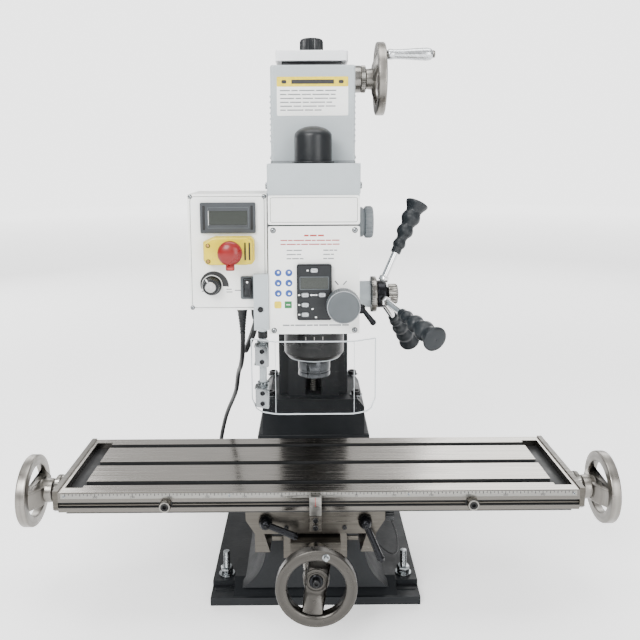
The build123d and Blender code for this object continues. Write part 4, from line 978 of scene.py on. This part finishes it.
def base_fittings():
    """Studs with nuts and washers, bracket screws, the machined way front and column bolts."""
    low, high = box("hold_down_studs")
    with Piece("threaded_studs", "frame", "zinc_steel", "hold_down_studs") as piece:
        for x in (low.x + 12, high.x - 12):
            for y in (low.y + 12, high.y - 12):
                piece.thread((x, y, 1), Z, 5, high.z - 2.5, 1.75, 0.7)
                piece.rod((x, y, high.z - 2), Z, 4.5, 1.6, 0.6)
                piece.turned(rounded(rect(5.4, 20, 12, 22.4), 0.5), (x, y, 0), Z, segments=48)
                piece.turned(rounded(rect(5.4, 22.4, 9.4, 24), 0.4), (x, y, 0), Z, segments=40)
                piece.hexagon((x, y, 24), Z, 9.8, 8.2, 1.0)
    with Piece("base_bosses", "frame", "charcoal_paint") as piece:
        for x in (-133, 133):
            piece.prism(rounded(rect(-15, -165, 15, -178), 4), (x, 0, 11.8), X, Y, 1.2, 0.5)
    bracket_low = box("y_screw_bracket")[0]
    with Piece("bracket_fasteners", "frame", "black_steel") as piece:
        for x in (-30, 30):
            piece.cap_screw((x, bracket_low.y + 46.6, 88), -Y, 5, 4)
        ring = [(8, 0), (14.4, 0), (13.8, 0.8), (8.6, 0.8)]
        piece.turned(ring, (0, bracket_low.y + 0.3, Y_SHAFT[2]), -Y, STEEL_Y, 48)
    with Piece("way_front_strip", "frame", "machined_iron") as piece:
        for side in (-1, 1):
            inner, outer = sorted((side * 46, side * 62))
            piece.block((inner, -189.8, 97), (outer, -188.6, 103.6), 0.3)
    with Piece("column_foot_screws", "frame", "black_steel", "column_bolts") as piece:
        for x in (-75, 75):
            for y in (52, 170):
                piece.turned(rounded(rect(0, 230.3, 11, 232), 0.4, closed=False), (x, y, 0), Z,
                             ZINC, 40)
                piece.cap_screw((x, y, 232), Z, 8.4, 6.4)


# ---------------------------------------------------------------- head
PLATE_LOW, PLATE_HIGH = box("front_plates")


def greeked(piece, x, z, words, height, material, y=PLATE_LOW.y + 0.05, gap=None):
    """A line of print too small to read: a row of short bars."""
    for word in words:
        piece.panel((x, z), (x + word, z + height), y, 0.12, 0.3, 0, material)
        x += word + (gap or height * 0.7)


def plate_print():
    """Borders, corner screws, plain pictograms and unreadable print lines on the head's front plates."""
    face = PLATE_LOW.y
    with Piece("plate_details", "head", "white_plate") as piece:
        piece.frame((-57, 559), (57, 591.5), face + 0.05, 0.15, 0.55, 3, BLACK_INK)
        piece.frame((-60.1, 554.2), (60.1, 555.8), face + 2.6, 2.2, 0.7, 0.5, SOCKET_DARK)
        for x in (-53.5, 53.5):
            for z in (PLATE_LOW.z + 5, 548.5):
                piece.turned([(0, 0), (3.8, 0), (3.6, 0.4), (0, 0.4)], (x, face, z), -Y, SOCKET_DARK, 28)
                piece.pan_screw((x, face - 0.3, z), -Y, 3.0, ZINC)
        greeked(piece, -13, 540.6, (6, 9, 8), 2.2, RED_INK)
        for z, words in ((534.6, (9, 6, 14, 8, 5, 11, 7, 10)), (529.4, (7, 12, 5, 9, 14, 8, 6, 9))):
            greeked(piece, -44, z, words, 1.5, RED_INK)
        for z, left, right in ((521.5, (8, 11), (7, 5, 4)), (516, (12, 6), (9, 4)),
                               (510.5, (6, 9, 5), (5, 8))):
            greeked(piece, -36, z, left, 1.5, GREY_INK)
            greeked(piece, 12, z, right, 1.5, GREY_INK)
        greeked(piece, -42, 421, (9, 5, 14, 8, 6, 12, 16, 9), 1.8, GREY_INK)
        for x in (-47.6, -33.4):
            for z in (492.4, 478.8, 465):
                piece.rod((x, face + 0.1, z), -Y, 4.7, 0.25, 0.05, BLUE_INK)
                piece.rod((x + 0.4, face - 0.1, z + (0.8 if z > 480 else -0.6)), -Y, 1.5, 0.12, 0.03,
                          WHITE_INK, 20)
        piece.panel((-53, 444.8), (-43.4, 454.4), face + 0.1, 0.3, 2.4, 0, YELLOW_INK)
        piece.panel((-39.2, 445), (-29.8, 454.4), face + 0.1, 0.3, 0.8, 0, GREEN_INK)
        piece.panel((-37, 449.2), (-32, 450.2), face - 0.12, 0.1, 0.4, 0, WHITE_INK)
        mark = [(26.5, 481), (28, 481.6), (32.4, 476.4), (31.2, 475.6)]
        piece.prism(mark, (0, face + 0.1, 0), X, Z, 0.25, 0, BLACK_INK)
        piece.prism([(70 - a, b) for a, b in mark][::-1], (0, face + 0.1, 0), X, Z, 0.25, 0, GREY_INK)


def depth_readout():
    """Face of the quill's depth readout: window, frame, key legends and rubber keys."""
    low, high = box("dro_panel")
    face = low.y
    with Piece("readout_face", "head", "black_plastic") as piece:
        piece.frame((low.x + 1.2, low.z + 1.2), (high.x - 1.2, high.z - 1.2), face + 0.05, 0.3, 0.5, 2, BLUED)
        piece.frame((-19.2, 470.8), (19.2, 488.2), face + 0.4, 0.9, 1.0, 1.2, MAT["grey_plastic"])
        piece.panel((-18.4, 471.6), (18.4, 487.4), face + 0.75, 0.3, 0.6, 0, LCD)
        for x, z in ((-8.6, 496.3), (-20, 463.7), (-20, 450.5), (-20, 437.5), (-4, 463.7), (2.4, 463.7),
                     (-2.5, 445), (2, 434)):
            piece.panel((x - 1.3, z - 0.9), (x + 1.3, z + 0.9), face + 0.05, 0.15, 0.4, 0, WHITE_INK)
        for x in (-1.2, 1.2):
            piece.panel((x - 1.8, 463), (x + 0.6, 464.4), face + 0.05, 0.15, 0.3, 0, WHITE_INK)
    for number in range(1, 6):
        node = f"dro_key_{number}"
        key_low, key_high = box(node)
        with Piece(f"readout_key_{number}", node, "key_grey", node) as piece:
            corners = rect(key_low.x, key_low.z, key_high.x, key_high.z)
            piece.prism(rounded(corners, 2.7, steps=5), (0, key_high.y, 0), X, Z, key_high.y - key_low.y, 0.6)
            middle = (key_low + key_high) / 2
            piece.frame((middle.x - 3.2, middle.z - 1.5), (middle.x + 3.2, middle.z + 1.5), key_low.y + 0.05,
                        0.15, 0.35,
                        1.5, WHITE_INK)


def head_knobs():
    """Fine feed knob, range selector and the quill's clamp lever."""
    low, high = box("fine_feed_knob")
    x, z = (low.x + high.x) / 2, (low.z + high.z) / 2
    with Piece("fine_feed_wheel", "fine_feed_knob", "grey_plastic", "fine_feed_knob") as piece:
        skirt = [(0, -4), (6, -4), (6, 0.6), (13, 0.8), (14, 6), (19.6, 7.4), (21.6, 9, 0.3), (22.4, 12, 1.3),
                 (22.4, 27, 1.3), (21.6, 30, 0.4), (20.4, 31.4), (19.8, 31.2), (19.4, 32), (16.5, 33.2),
                 (9, 34),
                 (0, 34)]
        piece.turned(skirt, (x, PLATE_LOW.y, z), -Y, None, 180, 45)
        piece.turned([(20.2, 30.6), (21.3, 30.6), (21.1, 31.6), (20.4, 31.7)], (x, PLATE_LOW.y, z), -Y,
                     MAT["key_grey"], 90)
    low, high = box("range_knob")
    y, z = (low.y + high.y) / 2, (low.z + high.z) / 2
    with Piece("range_selector", "range_knob", "grey_plastic", "range_knob") as piece:
        steps = [(0, 34), (7, 34), (7, 60.4), (20.5, 60.6), (21, 62, 0.2), (21, 68, 0.2), (19.5, 69.6),
                 (18.8, 70.4),
                 (22, 72, 1.2), (22.5, 74, 1.6), (22.5, 80, 1.6), (20.5, 82.6, 0.4), (12, 83), (0, 83)]
        piece.turned(steps, (0, y, z), X, RANGE_GREY, 144, 24)
        piece.block((82.9, y - 0.9, z + 4), (83.3, y + 0.9, z + 18), 0.1, WHITE_INK)
    with Piece("quill_clamp", "quill_lock_lever", "black_steel", "quill_lock_lever") as piece:
        start, end = Vector((66, CLAMP_Y, CLAMP_Z)), Vector((80.7, CLAMP_Y, 418.1))
        piece.rod((44, CLAMP_Y, CLAMP_Z), X, 4, 18, 0.3, BRIGHT)
        piece.turned(rounded([(0, 60.4), (6.6, 60.4), (6.8, 66), (5, 69.6), (0, 70)], 1, closed=False),
                     (0, CLAMP_Y, CLAMP_Z), X, BLUED, 40)
        piece.tube([start.lerp(end, t / 8) for t in range(9)], lambda t: 3.0 + 0.9 * t, BLUED, 20)
        piece.turned([(0, -4.4), (3.2, -3.4), (4.6, 0), (3.2, 3.4), (0, 4.4)], end, end - start, BLUED, 24)


def head_trim():
    """Spindle boss, domed drawbar cap, side screws, tilt scale and the marks beside it."""
    with Piece("spindle_boss", "head", "bright_steel") as piece:
        ring = [(31.2, 361.9), (36.8, 361.9), (42.4, 369), (42.4, 402), (41.4, 404.5), (41.4, 411),
                (31.2, 411)]
        piece.turned(rounded(ring, 0.8), SPINDLE, Z, DARK_STEEL, 96)
        for k in (-1, 0, 1):
            angle = radians(-90 + 16 * k)
            radial = Vector((cos(angle), sin(angle), 0))
            piece.prism(rect(-0.5, 394, 0.5, 399),
                        Vector(SPINDLE) + radial * 42.2, Z.cross(radial), Z, 0.35, 0, SCALE_METAL)
    with Piece("spindle_nose", "spindle", "bright_steel", "spindle") as piece:
        nose = [(11.95, 333.4), (21.4, 333.2), (22.8, 334.4), (22.8, 340), (21.9, 341), (21.9, 343),
                (22.8, 344),
                (22.8, 355.6), (20.8, 361.4), (16, 361.6), (16, 540.2), (20, 540.4), (20, 548), (9, 548.2),
                (9, 580),
                (0, 580), (0, 415), (9.9, 415)]
        piece.turned(nose, SPINDLE, Z, SPINDLE_STEEL, 96)
        for side in (-1, 1):
            piece.block((side * 17 - 3.5, SPINDLE[1] - 4, 332.95), (side * 17 + 3.5, SPINDLE[1] + 4, 333.6),
                        0.1,
                        SOCKET_DARK)
    with Piece("drawbar_dome", "head", "black_plastic", "spindle_cap") as piece:
        dome = [(25.2, 635), (26, 636), (26, 672)]
        dome += [(26 * cos(radians(a)), 672 + 14 * sin(radians(a))) for a in range(10, 90, 10)]
        piece.turned(dome + [(0, 686), (0, 635)], SPINDLE, Z, None, 80)
        piece.turned(rounded([(25.6, 635), (29.5, 635), (29.5, 637.4), (25.6, 638.4)], 0.6), SPINDLE, Z,
                     None, 80)
    with Piece("head_screws", "head", "zinc_steel") as piece:
        for side in (-1, 1):
            for y in (-205, -60):
                piece.cap_screw((side * 61, y, 606), (side, 0, 0), 4.4, 3)
            piece.turned([(0, 0), (6.4, 0), (6.4, 0.8), (5.6, 1.4), (0, 1.4)], (side * 61, -130, 616),
                         (side, 0, 0),
                         None, 32)
    with Piece("tilt_scale", "carriage", "bright_steel") as piece:
        ring = [(62.9, 0.6), (63.5, 0.8), (63.5, 11.4), (62.9, 11.6)]
        piece.turned(ring, (0, -27.4, TILT_HEIGHT), -Y, SCALE_METAL, 128)
        for k in range(-18, 19):
            angle = radians(90 + 5 * k)
            radial = Vector((cos(angle), 0, sin(angle)))
            tangent = Vector((-sin(angle), 0, cos(angle)))
            reach = 6 if k % 6 == 0 else 4.4 if k % 3 == 0 else 3
            corners = rect(-0.25, 0, 0.25, reach)
            piece.prism(corners, Vector((0, -38.6, TILT_HEIGHT)) + radial * 63.4, tangent, Y, 0.25, 0,
                        BLACK_INK)


def quill_feed():
    """Depth ring, hub, chrome rods and beaded grips of the quill feed."""
    low, high = box("feed_hub")
    y, z = FEED_Y, FEED_Z
    with Piece("feed_hub_turned", "feed", "chrome", "feed_hub") as piece:
        piece.rod((low.x, y, z), X, 7.6, 108, 0.4, BRIGHT)
        ring = [(8, 83.6), (25, 83.6), (26, 84.6), (26, 91), (25, 92), (8, 92)]
        piece.turned(rounded(ring, 0.6), (0, y, z), X, FEED_STEEL, 96)
        hub = [(0, 92), (19, 92), (20.2, 94), (20.2, 104), (18.6, 106.4), (12, 107.4), (10, 108.4), (10, 110),
               (0, 110)]
        piece.turned(rounded(hub, 1.2, closed=False), (0, y, z), X, BLUED, 64)
        end = [(0, 109.6), (14, 109.6), (15, 110.6, 1.0), (15, 121, 1.0), (13.4, 123), (9, 124), (0, 124)]
        piece.turned(end, (0, y, z), X, FEED_STEEL, 120, 30)
        piece.cap_screw((122.4, y, z), X, 4, 2.4, BLACK)
        for k in range(50):
            angle = tau * k / 50
            radial = Vector((0, cos(angle), sin(angle)))
            reach = 5.5 if k % 5 == 0 else 3.4
            corners = rect(-0.3, 83.9, 0.3, 83.9 + reach)
            piece.prism(corners, Vector((0, y, z)) + radial * 25.9, X.cross(radial), X, 0.25, 0, BLACK_INK)
        for start, rake in feed_rods(y, z):
            piece.tube([start, start + rake * 112], 5, MAT["chrome"], 32)
            piece.hexagon(start + rake * 8, rake, 7.4, 7, 0.8, MAT["chrome"])
    with Piece("feed_handle_grips", "feed", "grip_rubber", "feed_grips") as piece:
        beads = [(5.0, 0), (7.2, 0), (7.4, 5), (7.0, 8.4), (8.6, 10.6), (9.8, 14), (8.8, 18), (7.6, 21),
                 (7.5, 24.5),
                 (9.0, 28), (11.8, 31.5), (12.6, 35.5), (11.6, 40), (9.8, 43), (9.6, 45.6), (11, 49),
                 (13.6, 53.5),
                 (14.5, 57.5), (13.4, 62.5), (11.6, 66), (11.5, 68.5), (12.8, 72), (16.0, 77.5), (17.3, 80.6),
                 (17.0, 82.6), (14.5, 84), (8, 84.5), (0, 84.5), (0, 56), (5, 56)]
        for start, rake in feed_rods(y, z):
            piece.turned(rounded(beads, 2.2), start + rake * 54, rake, None, 64)


def feed_rods(y, z):
    """Start and direction of the three raked feed rods."""
    rods = []
    for k in range(3):
        angle = radians(15 + 120 * k)
        a, b = sin(angle), cos(angle)
        start, end = Vector((99, y + 12 * a, z + 12 * b)), Vector((152, y + 126 * a, z + 126 * b))
        rods.append((start, (end - start).normalized()))
    return rods


# ---------------------------------------------------------------- electrics
BOX_LOW, BOX_HIGH = box("control_box")
PANEL = BOX_LOW.y + 4              # front face of the box; the display's frame stands 4 mm proud


def control_panel():
    """Panel border, corner screws, display, speed scale, switch plate and rear cover of the box."""
    with Piece("panel_border", "head", "white_plate") as piece:
        piece.frame((-163, 444), (-65, 593), PANEL + 0.05, 0.15, 0.6, 6, BLACK_INK)
        for x in (-162.6, -65.4):
            for z in (444.4, 592.6):
                piece.turned([(0, 0), (3, 0), (2.8, 0.4), (0, 0.4)], (x, PANEL, z), -Y, SOCKET_DARK, 24)
                piece.pan_screw((x, PANEL - 0.3, z), -Y, 2.4, ZINC)
        piece.panel((-165.4, 441.4), (-62.6, 595.6), PANEL + 0.9, 0.85, 2, 0.1, MAT["white_plate"])
        for x in (-150, -78):
            for z in (456, 580):
                piece.pan_screw((x, BOX_HIGH.y, z), Y, 2.6, ZINC)
        piece.block((-160, BOX_HIGH.y - 0.2, 447), (-68, BOX_HIGH.y + 1.2, 590), 0.8)
        for k in range(6):
            piece.block((-141, BOX_HIGH.y + 1.1, 470 + 6 * k), (-87, BOX_HIGH.y + 2.6, 472.6 + 6 * k), 0.6)
    with Piece("display", "head", "black_plastic") as piece:
        piece.frame((-149.2, 544.8), (-76.8, 584.7), PANEL - 3.6, 0.8, 10.5, 1.6, DISPLAY_FRAME)
        piece.frame((-149.4, 544.6), (-76.6, 584.9), PANEL + 0.2, 4.0, 1.2, 1.6, DISPLAY_FRAME)
        piece.panel((-139, 551.6), (-86, 578.4), PANEL - 2.9, 0.4, 0.6, 0, LCD)
        piece.frame((-139.6, 551), (-85.4, 579), PANEL - 3.6, 1.2, 0.9, 1, MAT["grey_plastic"])
        for x in (-144.5, -81.5):
            piece.block((x - 1.6, PANEL - 4.9, 549), (x + 1.6, PANEL - 4.3, 581), 0.2, SOCKET_DARK)
    with Piece("speed_scale", "head", "black_plastic") as piece:
        wedge = []
        for step in range(25):
            angle = radians(200 - 205 * step / 24)
            reach = 15 + 7.5 * step / 24
            wedge.append((KNOB_X + reach * cos(angle), KNOB_Z + reach * sin(angle)))
        for step in range(24, -1, -1):
            angle = radians(200 - 205 * step / 24)
            wedge.append((KNOB_X + 14 * cos(angle), KNOB_Z + 14 * sin(angle)))
        piece.prism(wedge, (0, PANEL + 0.02, 0), X, Z, 0.15, 0, BLACK_INK)
        for x, z, words in ((-117, 468.5, 7), (-106, 467, 8), (-117, 464.8, 8), (-150, 466, 4)):
            piece.panel((x, z), (x + words, z + 1.3), PANEL + 0.02, 0.12, 0.3, 0, GREY_INK)
    with Piece("speed_knob_fluted", "speed_knob", "black_plastic", "speed_knob") as piece:
        knob = [(0, -6), (3, -6), (3, 0.6), (13, 0.8), (13, 3), (12.4, 4), (11.8, 5, 0.7), (11, 14, 0.7),
                (10, 15.4),
                (0, 15.4)]
        piece.turned(knob, (KNOB_X, PANEL, KNOB_Z), -Y, None, 168, 24)
        cap = [(0, 15), (7.2, 15), (7.2, 16.6), (6.6, 17.2), (0, 17.0)]
        piece.turned(cap, (KNOB_X, PANEL, KNOB_Z), -Y, KNOB_CAP, 48)
        side = Vector((-0.5, 0, 0.87)).normalized()
        corners = rect(6.4, -0.7, 12.4, 0.7)
        piece.prism(corners, (KNOB_X, PANEL - 14.9, KNOB_Z), side, (-side.z, 0, side.x), 0.9, 0.1, WHITE_INK)
    with Piece("switch_plate", "head", "grey_plastic") as piece:
        piece.panel((-98, 456), (-79.6, 487), PANEL - 1.2, 0.7, 2.4, 0.25)
        piece.frame((-94.6, 458.4), (-82.4, 484.6), PANEL - 1.6, 1.2, 1.2, 1.6, MAT["black_plastic"])
    with Piece("rocker", "direction_switch", "black_plastic", "direction_switch") as piece:
        profile = [(-218.7, 462), (-218.7, 481), (-224, 483), (-222.6, 477), (-221.6, 471.5), (-222.6, 466),
                   (-224, 460)]
        piece.prism(rounded(profile, 1.2), (-93, 0, 0), Y, Z, 9, 0.5)
        piece.rod((-94, -220.6, 471.5), X, 1.2, 11, 0.2)
        piece.rod((-88.5, -223.6, 480), -Y, 1.4, 0.25, 0.05, WHITE_INK, 20)


def emergency_stop():
    """Yellow cast housing with a hinged lid, and the red mushroom with its lock tab."""
    low, high = box("estop_housing")
    with Piece("stop_housing", "head", "yellow_plastic", "estop_housing") as piece:
        centre = Vector((STOP_X, 0, STOP_Z))
        back = [(low.x + 4, low.z), (high.x - 4, low.z), (high.x, low.z + 5), (high.x, high.z - 5),
                (high.x - 4, high.z),
                (low.x + 14, high.z), (low.x + 6, high.z - 4), (low.x, high.z - 6), (low.x, low.z + 6)]
        piece.prism(rounded(back, 2), (0, high.y, 0), X, Z, 12, 0.8)
        lid = [(low.x + 7, low.z + 0.5), (high.x - 8, low.z + 0.5), (high.x - 3, low.z + 6),
               (high.x - 3, high.z - 6),
               (high.x - 8, high.z - 0.5), (low.x + 14, high.z - 0.5), (low.x + 2, high.z - 8),
               (low.x + 2, low.z + 8)]
        piece.prism(rounded(lid, 2), (0, high.y - 12.4, 0), X, Z, 7.4, 2.2, None, 3)
        ring = [(10.4, 0), (14.5, 0), (14.5, 3), (13.4, 3.6), (10.4, 3.6)]
        piece.turned(ring, centre + Y * (high.y - 18.6), -Y, None, 64)
        for x in (-90.6, -85):
            piece.block((x, low.y + 1.6, 511), (x + 2.2, low.y + 3.2, 534), 0.3, SOCKET_DARK)
        piece.block((high.x - 5.2, low.y + 3.4, 509), (high.x - 2.6, low.y + 12, 536), 0.6)
        for z in (509.5, 530):
            piece.turned(rect(0, 0, 2.9, 0.5), (low.x + 7.4, high.y - 19.6, z), -Y, SOCKET_DARK, 28)
            piece.pan_screw((low.x + 7.4, high.y - 19.9, z), -Y, 1.9, MAT["bronze"])
    with Piece("stop_mushroom", "estop_button", "red_plastic", "estop_button") as piece:
        cap = [(0, -12), (9.4, -12), (9.4, 4.6), (14.6, 6.2), (15.8, 8), (16, 11)]
        cap += [(16 * cos(radians(a)), 11 + 8 * sin(radians(a))) for a in range(12, 90, 13)]
        cap += [(0, 19)]
        piece.turned(cap, (STOP_X, -237, STOP_Z), -Y, None, 72)
        tab = rect(-5.6, 0, 5.6, -8.6)
        piece.prism(rounded(tab, 1.6), (STOP_X, -243.4, 507.6), X, Z, 4.6, 0.8)
        piece.panel((-111.4, 500.6), (-104.6, 503.2), -247.9, 0.15, 0.6, 0, RED_INK)


def cable_glands():
    """Gland nuts and domes with tapered strain reliefs."""
    with Piece("box_glands", "head", "black_plastic", "lead_gland") as piece:
        for (x, y), core in ((LEAD_GLAND, 3.6), (CABLE_GLAND, 4.1)):
            piece.hexagon((x, y, 434), Z, 9.2, 7, 0.8)
            dome = [(core, 417), (core + 1.4, 417), (core + 2.6, 424), (6.9, 429), (8, 431, 0.5),
                    (8, 434, 0.5),
                    (core, 434)]
            piece.turned(dome, (x, y, 0), Z, None, 60, 20)
        start, axis = Vector((-56, -85, 458.3)), Vector((-1, 0, -1)).normalized()
        piece.hexagon(start + axis * 6, axis, 9.2, 4, 0.6)
        piece.turned([(4.1, 5), (8.6, 5), (8.2, 12), (6.8, 15), (5.6, 22), (4.1, 22)], start, axis, None, 48)
    with Piece("lead_strain_relief", "head", "black_plastic") as piece:
        taper = [(3.5, 0), (6.4, 0)]
        for k in range(6):
            radius = 6.2 - 0.4 * k
            taper += [(radius, 2 + 4 * k), (radius - 0.7, 2.8 + 4 * k), (radius - 0.7, 4.4 + 4 * k),
                      (radius - 0.3, 5 + 4 * k)]
        taper += [(4.0, 27), (3.5, 27)]
        piece.turned(taper, (*LEAD_GLAND, 424), -Z, None, 40)


# ---------------------------------------------------------------- guard
def chip_guard():
    """Folded clear shield with painted highlights along its edges and folds, its metal hinge clamps and the
    bracket's fasteners.
    """
    with Piece("guard_sheet", "guard", "clear_guard", "guard_shield") as piece:
        outer = [(-83, -241), (-51, -257), (51, -257), (80, -241)]
        inner = [(80.8, -238.2), (50.4, -254), (-50.4, -254), (-83.8, -238.2)]
        shield = bmesh.new()
        columns = 26
        folds = [Vector(p) for p in rounded(outer, 5, closed=False, steps=5)]
        backs = [Vector(p) for p in rounded(inner, 5, closed=False, steps=5)][::-1]
        wing = 16
        path = resample(folds, columns), resample(backs, columns)
        grid = []
        for front, back in zip(*path):
            edge = min((front - folds[0]).length, (front - folds[-1]).length)
            lift = wing - sqrt(max(0, wing ** 2 - (wing - min(edge, wing)) ** 2))
            low = GUARD_BOTTOM + lift
            grid.append([(front.x, front.y, low), (front.x, front.y, GUARD_TOP), (back.x, back.y, GUARD_TOP),
                         (back.x, back.y, low)])
        rings = [[shield.verts.new(p) for p in column] for column in grid]
        skin(shield, rings)
        piece.take(shield, None)
    # Painted highlight: light tubes along the shield's top, bottom, ends and folds.
    with Piece("guard_edge_highlights", "guard", "clear_guard") as piece:
        fronts = [Vector((a.x, a.y - 0.3, 0)) for a in path[0]]
        for lift in (0, 1):
            line = []
            for k, front in enumerate(fronts):
                z = GUARD_TOP - 0.6 if lift else grid[k][0][2] + 0.6
                line.append((front.x, front.y + 1.9, z))
            piece.tube(line, 0.9, GUARD_EDGE_GLINT, 8)
        for column in (0, -1):
            x, y, z = grid[column][0]
            piece.tube([(x, y + 1.6, z), (x, y + 1.6, GUARD_TOP - 1)], 0.8, GUARD_EDGE_GLINT, 8)
        for x in (-51, 51):
            piece.tube([(x, -256.6, GUARD_BOTTOM + 1), (x, -256.6, GUARD_TOP - 1)], 0.35, GUARD_EDGE_GLINT, 8)
    with Piece("guard_hinges", "guard", "bright_steel") as piece:
        for low, high in ((317, 345), (373, 401)):
            piece.rod((HINGE_X, HINGE_Y, low), Z, 8, high - low, 0.8, ZINC)
            piece.block((-79, -236, low + 1), (-62, -229, high - 1), 1.2, ZINC)
            slope = Vector((32, -16, 0)).normalized()
            plate = rect(-9, low + 1, 11, high - 1)
            piece.prism(rounded(plate, 2), (-69, -250.5, 0), slope, Z, 2, 0.5, ZINC)
            for z in (low + 7, high - 7):
                piece.cap_screw((-68, -252.6, z), (-0.45, -0.89, 0), 3, 2.4, BLUED)
            for side in (0, 1):
                piece.block((-79, -249, (low + 1, high - 3)[side]), (-62, -235, (low + 3, high - 1)[side]),
                            0.5, ZINC)
    with Piece("guard_bracket_trim", "head", "black_steel") as piece:
        piece.cap_screw((-71, -228, 444), -Y, 3.6, 1.2)
        piece.rod((HINGE_X, HINGE_Y, 312), Z, 4.9, 6.4, 1, BLACK)
        piece.rod((HINGE_X, HINGE_Y, 405), Z, 6.6, 9, 0.8, BLACK)


def resample(points, count):
    """Evenly spaced points along a polyline, so that the two faces of a sheet match."""
    lengths = [0.0]
    for one, two in zip(points, points[1:]):
        lengths.append(lengths[-1] + (two - one).length)
    result = []
    for k in range(count):
        goal = lengths[-1] * k / (count - 1)
        index = max(i for i in range(len(points) - 1) if lengths[i] <= goal + 1e-9)
        span = lengths[index + 1] - lengths[index]
        result.append(points[index].lerp(points[index + 1], min(1, (goal - lengths[index]) / span)))
    return result


# ---------------------------------------------------------------- column and covers
def column_top():
    """Ribbed black knob on the white cap, and a dark band of painted shade below the cap."""
    low, high = box("dust_cap")
    x, y = (low.x + high.x) / 2, (low.y + high.y) / 2
    with Piece("ribbed_cap", "frame", "black_plastic", "dust_cap") as piece:
        cap = [(0, 818), (24.6, 818), (25, 820.4), (21.5, 822.5), (20.4, 824, 1.4), (20.2, 840, 1.4),
               (18.4, 843.6, 0.8),
               (15, 845), (0, 845.4)]
        piece.turned(cap, (x, y, 0), Z, None, 168, 28)
        ears = rect(-31, -7, 31, 7)
        piece.prism(rounded(ears, 6), (x, y, 818), X, Y, 2.6, 0.5)
        for side in (-1, 1):
            piece.cap_screw((x + side * 27.4, y, 820.6), Z, 2, 1.4, ZINC)
    # Painted shade: a dark block that stands for the shadowed step under the white cap.
    with Piece("cap_shade_band", "frame", "black_plastic") as piece:
        piece.block((-50, 55, 793.5), (50, 158, 801.4), 1)


def cover_details():
    """Label, vents, seams and screws of the motor cover, and the column's rear plate."""
    low, high = box("motor_cover")
    face = low.y
    with Piece("cover_label", "head", "white_plate") as piece:
        piece.panel((-50.6, 701.5), (50, 755.5), face + 0.02, 0.4, 1.6, 0.1, MAT["white_plate"])
        piece.panel((-50.6, 741.8), (50, 755.5), face - 0.36, 0.15, 1.6, 0, YELLOW_INK)
        for x in (-40.5, 40):
            piece.panel((x - 3.6, 746), (x + 3.6, 751), face - 0.5, 0.12, 2.4, 0, BLACK_INK)
        piece.panel((-30, 745.6), (30, 751.4), face - 0.5, 0.12, 0.8, 0, BLACK_INK)
        for row, words in enumerate(((14, 9, 22, 11, 16), (9, 18, 13, 24, 7), (20, 8, 15, 19, 10),
                                     (12, 16, 9, 21, 8),
                                     (17, 11, 20, 9, 14), (8, 23, 12, 10))):
            greeked(piece, -46, 735.6 - 5.4 * row, words, 1.6, GREY_INK, face - 0.36, 1.8)
    with Piece("cover_trim", "head", "grey_paint") as piece:
        for side in (-1, 1):
            for k in range(9):
                z = 664 + 8 * k
                profile = [(0, 0), (2.2, 1.6), (2.2, 2.6), (0, 5)]
                corners = [(side * (60 + a), z + b) for a, b in profile]
                if side < 0:
                    corners = corners[::-1]
                piece.prism(corners, (0, -52, 0), X, Z, 58, 0.25)
            for y in (-118, -40):
                piece.pan_screw((side * 60, y, 643), (side, 0, 0), 3, ZINC)
        for x in (-50, 50):
            piece.pan_screw((x, high.y, 648), Y, 3, ZINC)
            piece.pan_screw((x, high.y, 758), Y, 3, ZINC)
        piece.frame((-60.4, 635.1), (60.4, 638.4), face + 0.3, 0.5, 1.2, 0.5, GREY_INK)
    with Piece("column_rear_cover", "frame", "charcoal_paint") as piece:
        corners = rect(-42, 300, 42, 740)
        piece.prism(rounded(corners, 6), (0, COLUMN_BACK - 0.2, 0), X, Z, -2.4, 0.8)
        for x in (-36, 36):
            for z in (308, 414, 520, 626, 732):
                piece.pan_screw((x, COLUMN_BACK + 2.2, z), Y, 3.4, ZINC)
        piece.prism(rounded(rect(-26, 640, 26, 676), 2), (0, COLUMN_BACK + 2.2, 0), X, Z, -0.6, 0.1,
                    SCALE_METAL)
        for k in range(4):
            piece.prism(rect(-20, 646 + 6.6 * k, 20, 647 + 6.6 * k),
                        (0, COLUMN_BACK + 2.75, 0), X, Z, -0.15, 0, GREY_INK)


FEED_STEEL = turned_metal("turned_steel_feed", tone("7c7a76"), (0, FEED_Y, FEED_Z), X, 0.2, 1400)
KNOB_CAP = turned_metal("spun_cap", tone("b4b4b2"), (KNOB_X, 0, KNOB_Z), Y, 0.18, 1800)
DISPLAY_FRAME = moulded("display_frame", tone("34373a"), 0.4)

for make in (table_wheels, front_wheel, lifting_wheel, lifting_screw, scale_strip, table_fittings,
             saddle_fittings,
             base_fittings, plate_print, depth_readout, head_knobs, head_trim, quill_feed, control_panel,
             emergency_stop, cable_glands, chip_guard, column_top, cover_details):
    make()


# ---------------------------------------------------------------- carried-over CAD nodes
def finish_nodes():
    """Every CAD node that stays gets its slot's material."""
    special = {"z_leadscrew": SCREW_STEEL, "quill": SPINDLE_STEEL, "spindle": SPINDLE_STEEL,
               "y_leadscrew": STEEL_Y, "z_crank_shaft": STEEL_Z}
    for row in frame["record"]["subparts"]:
        node = frame["nodes"][row["node"]]
        node.data.materials.clear()
        node.data.materials.append(special.get(row["node"], MAT[row["material_slot"]]))


finish_nodes()
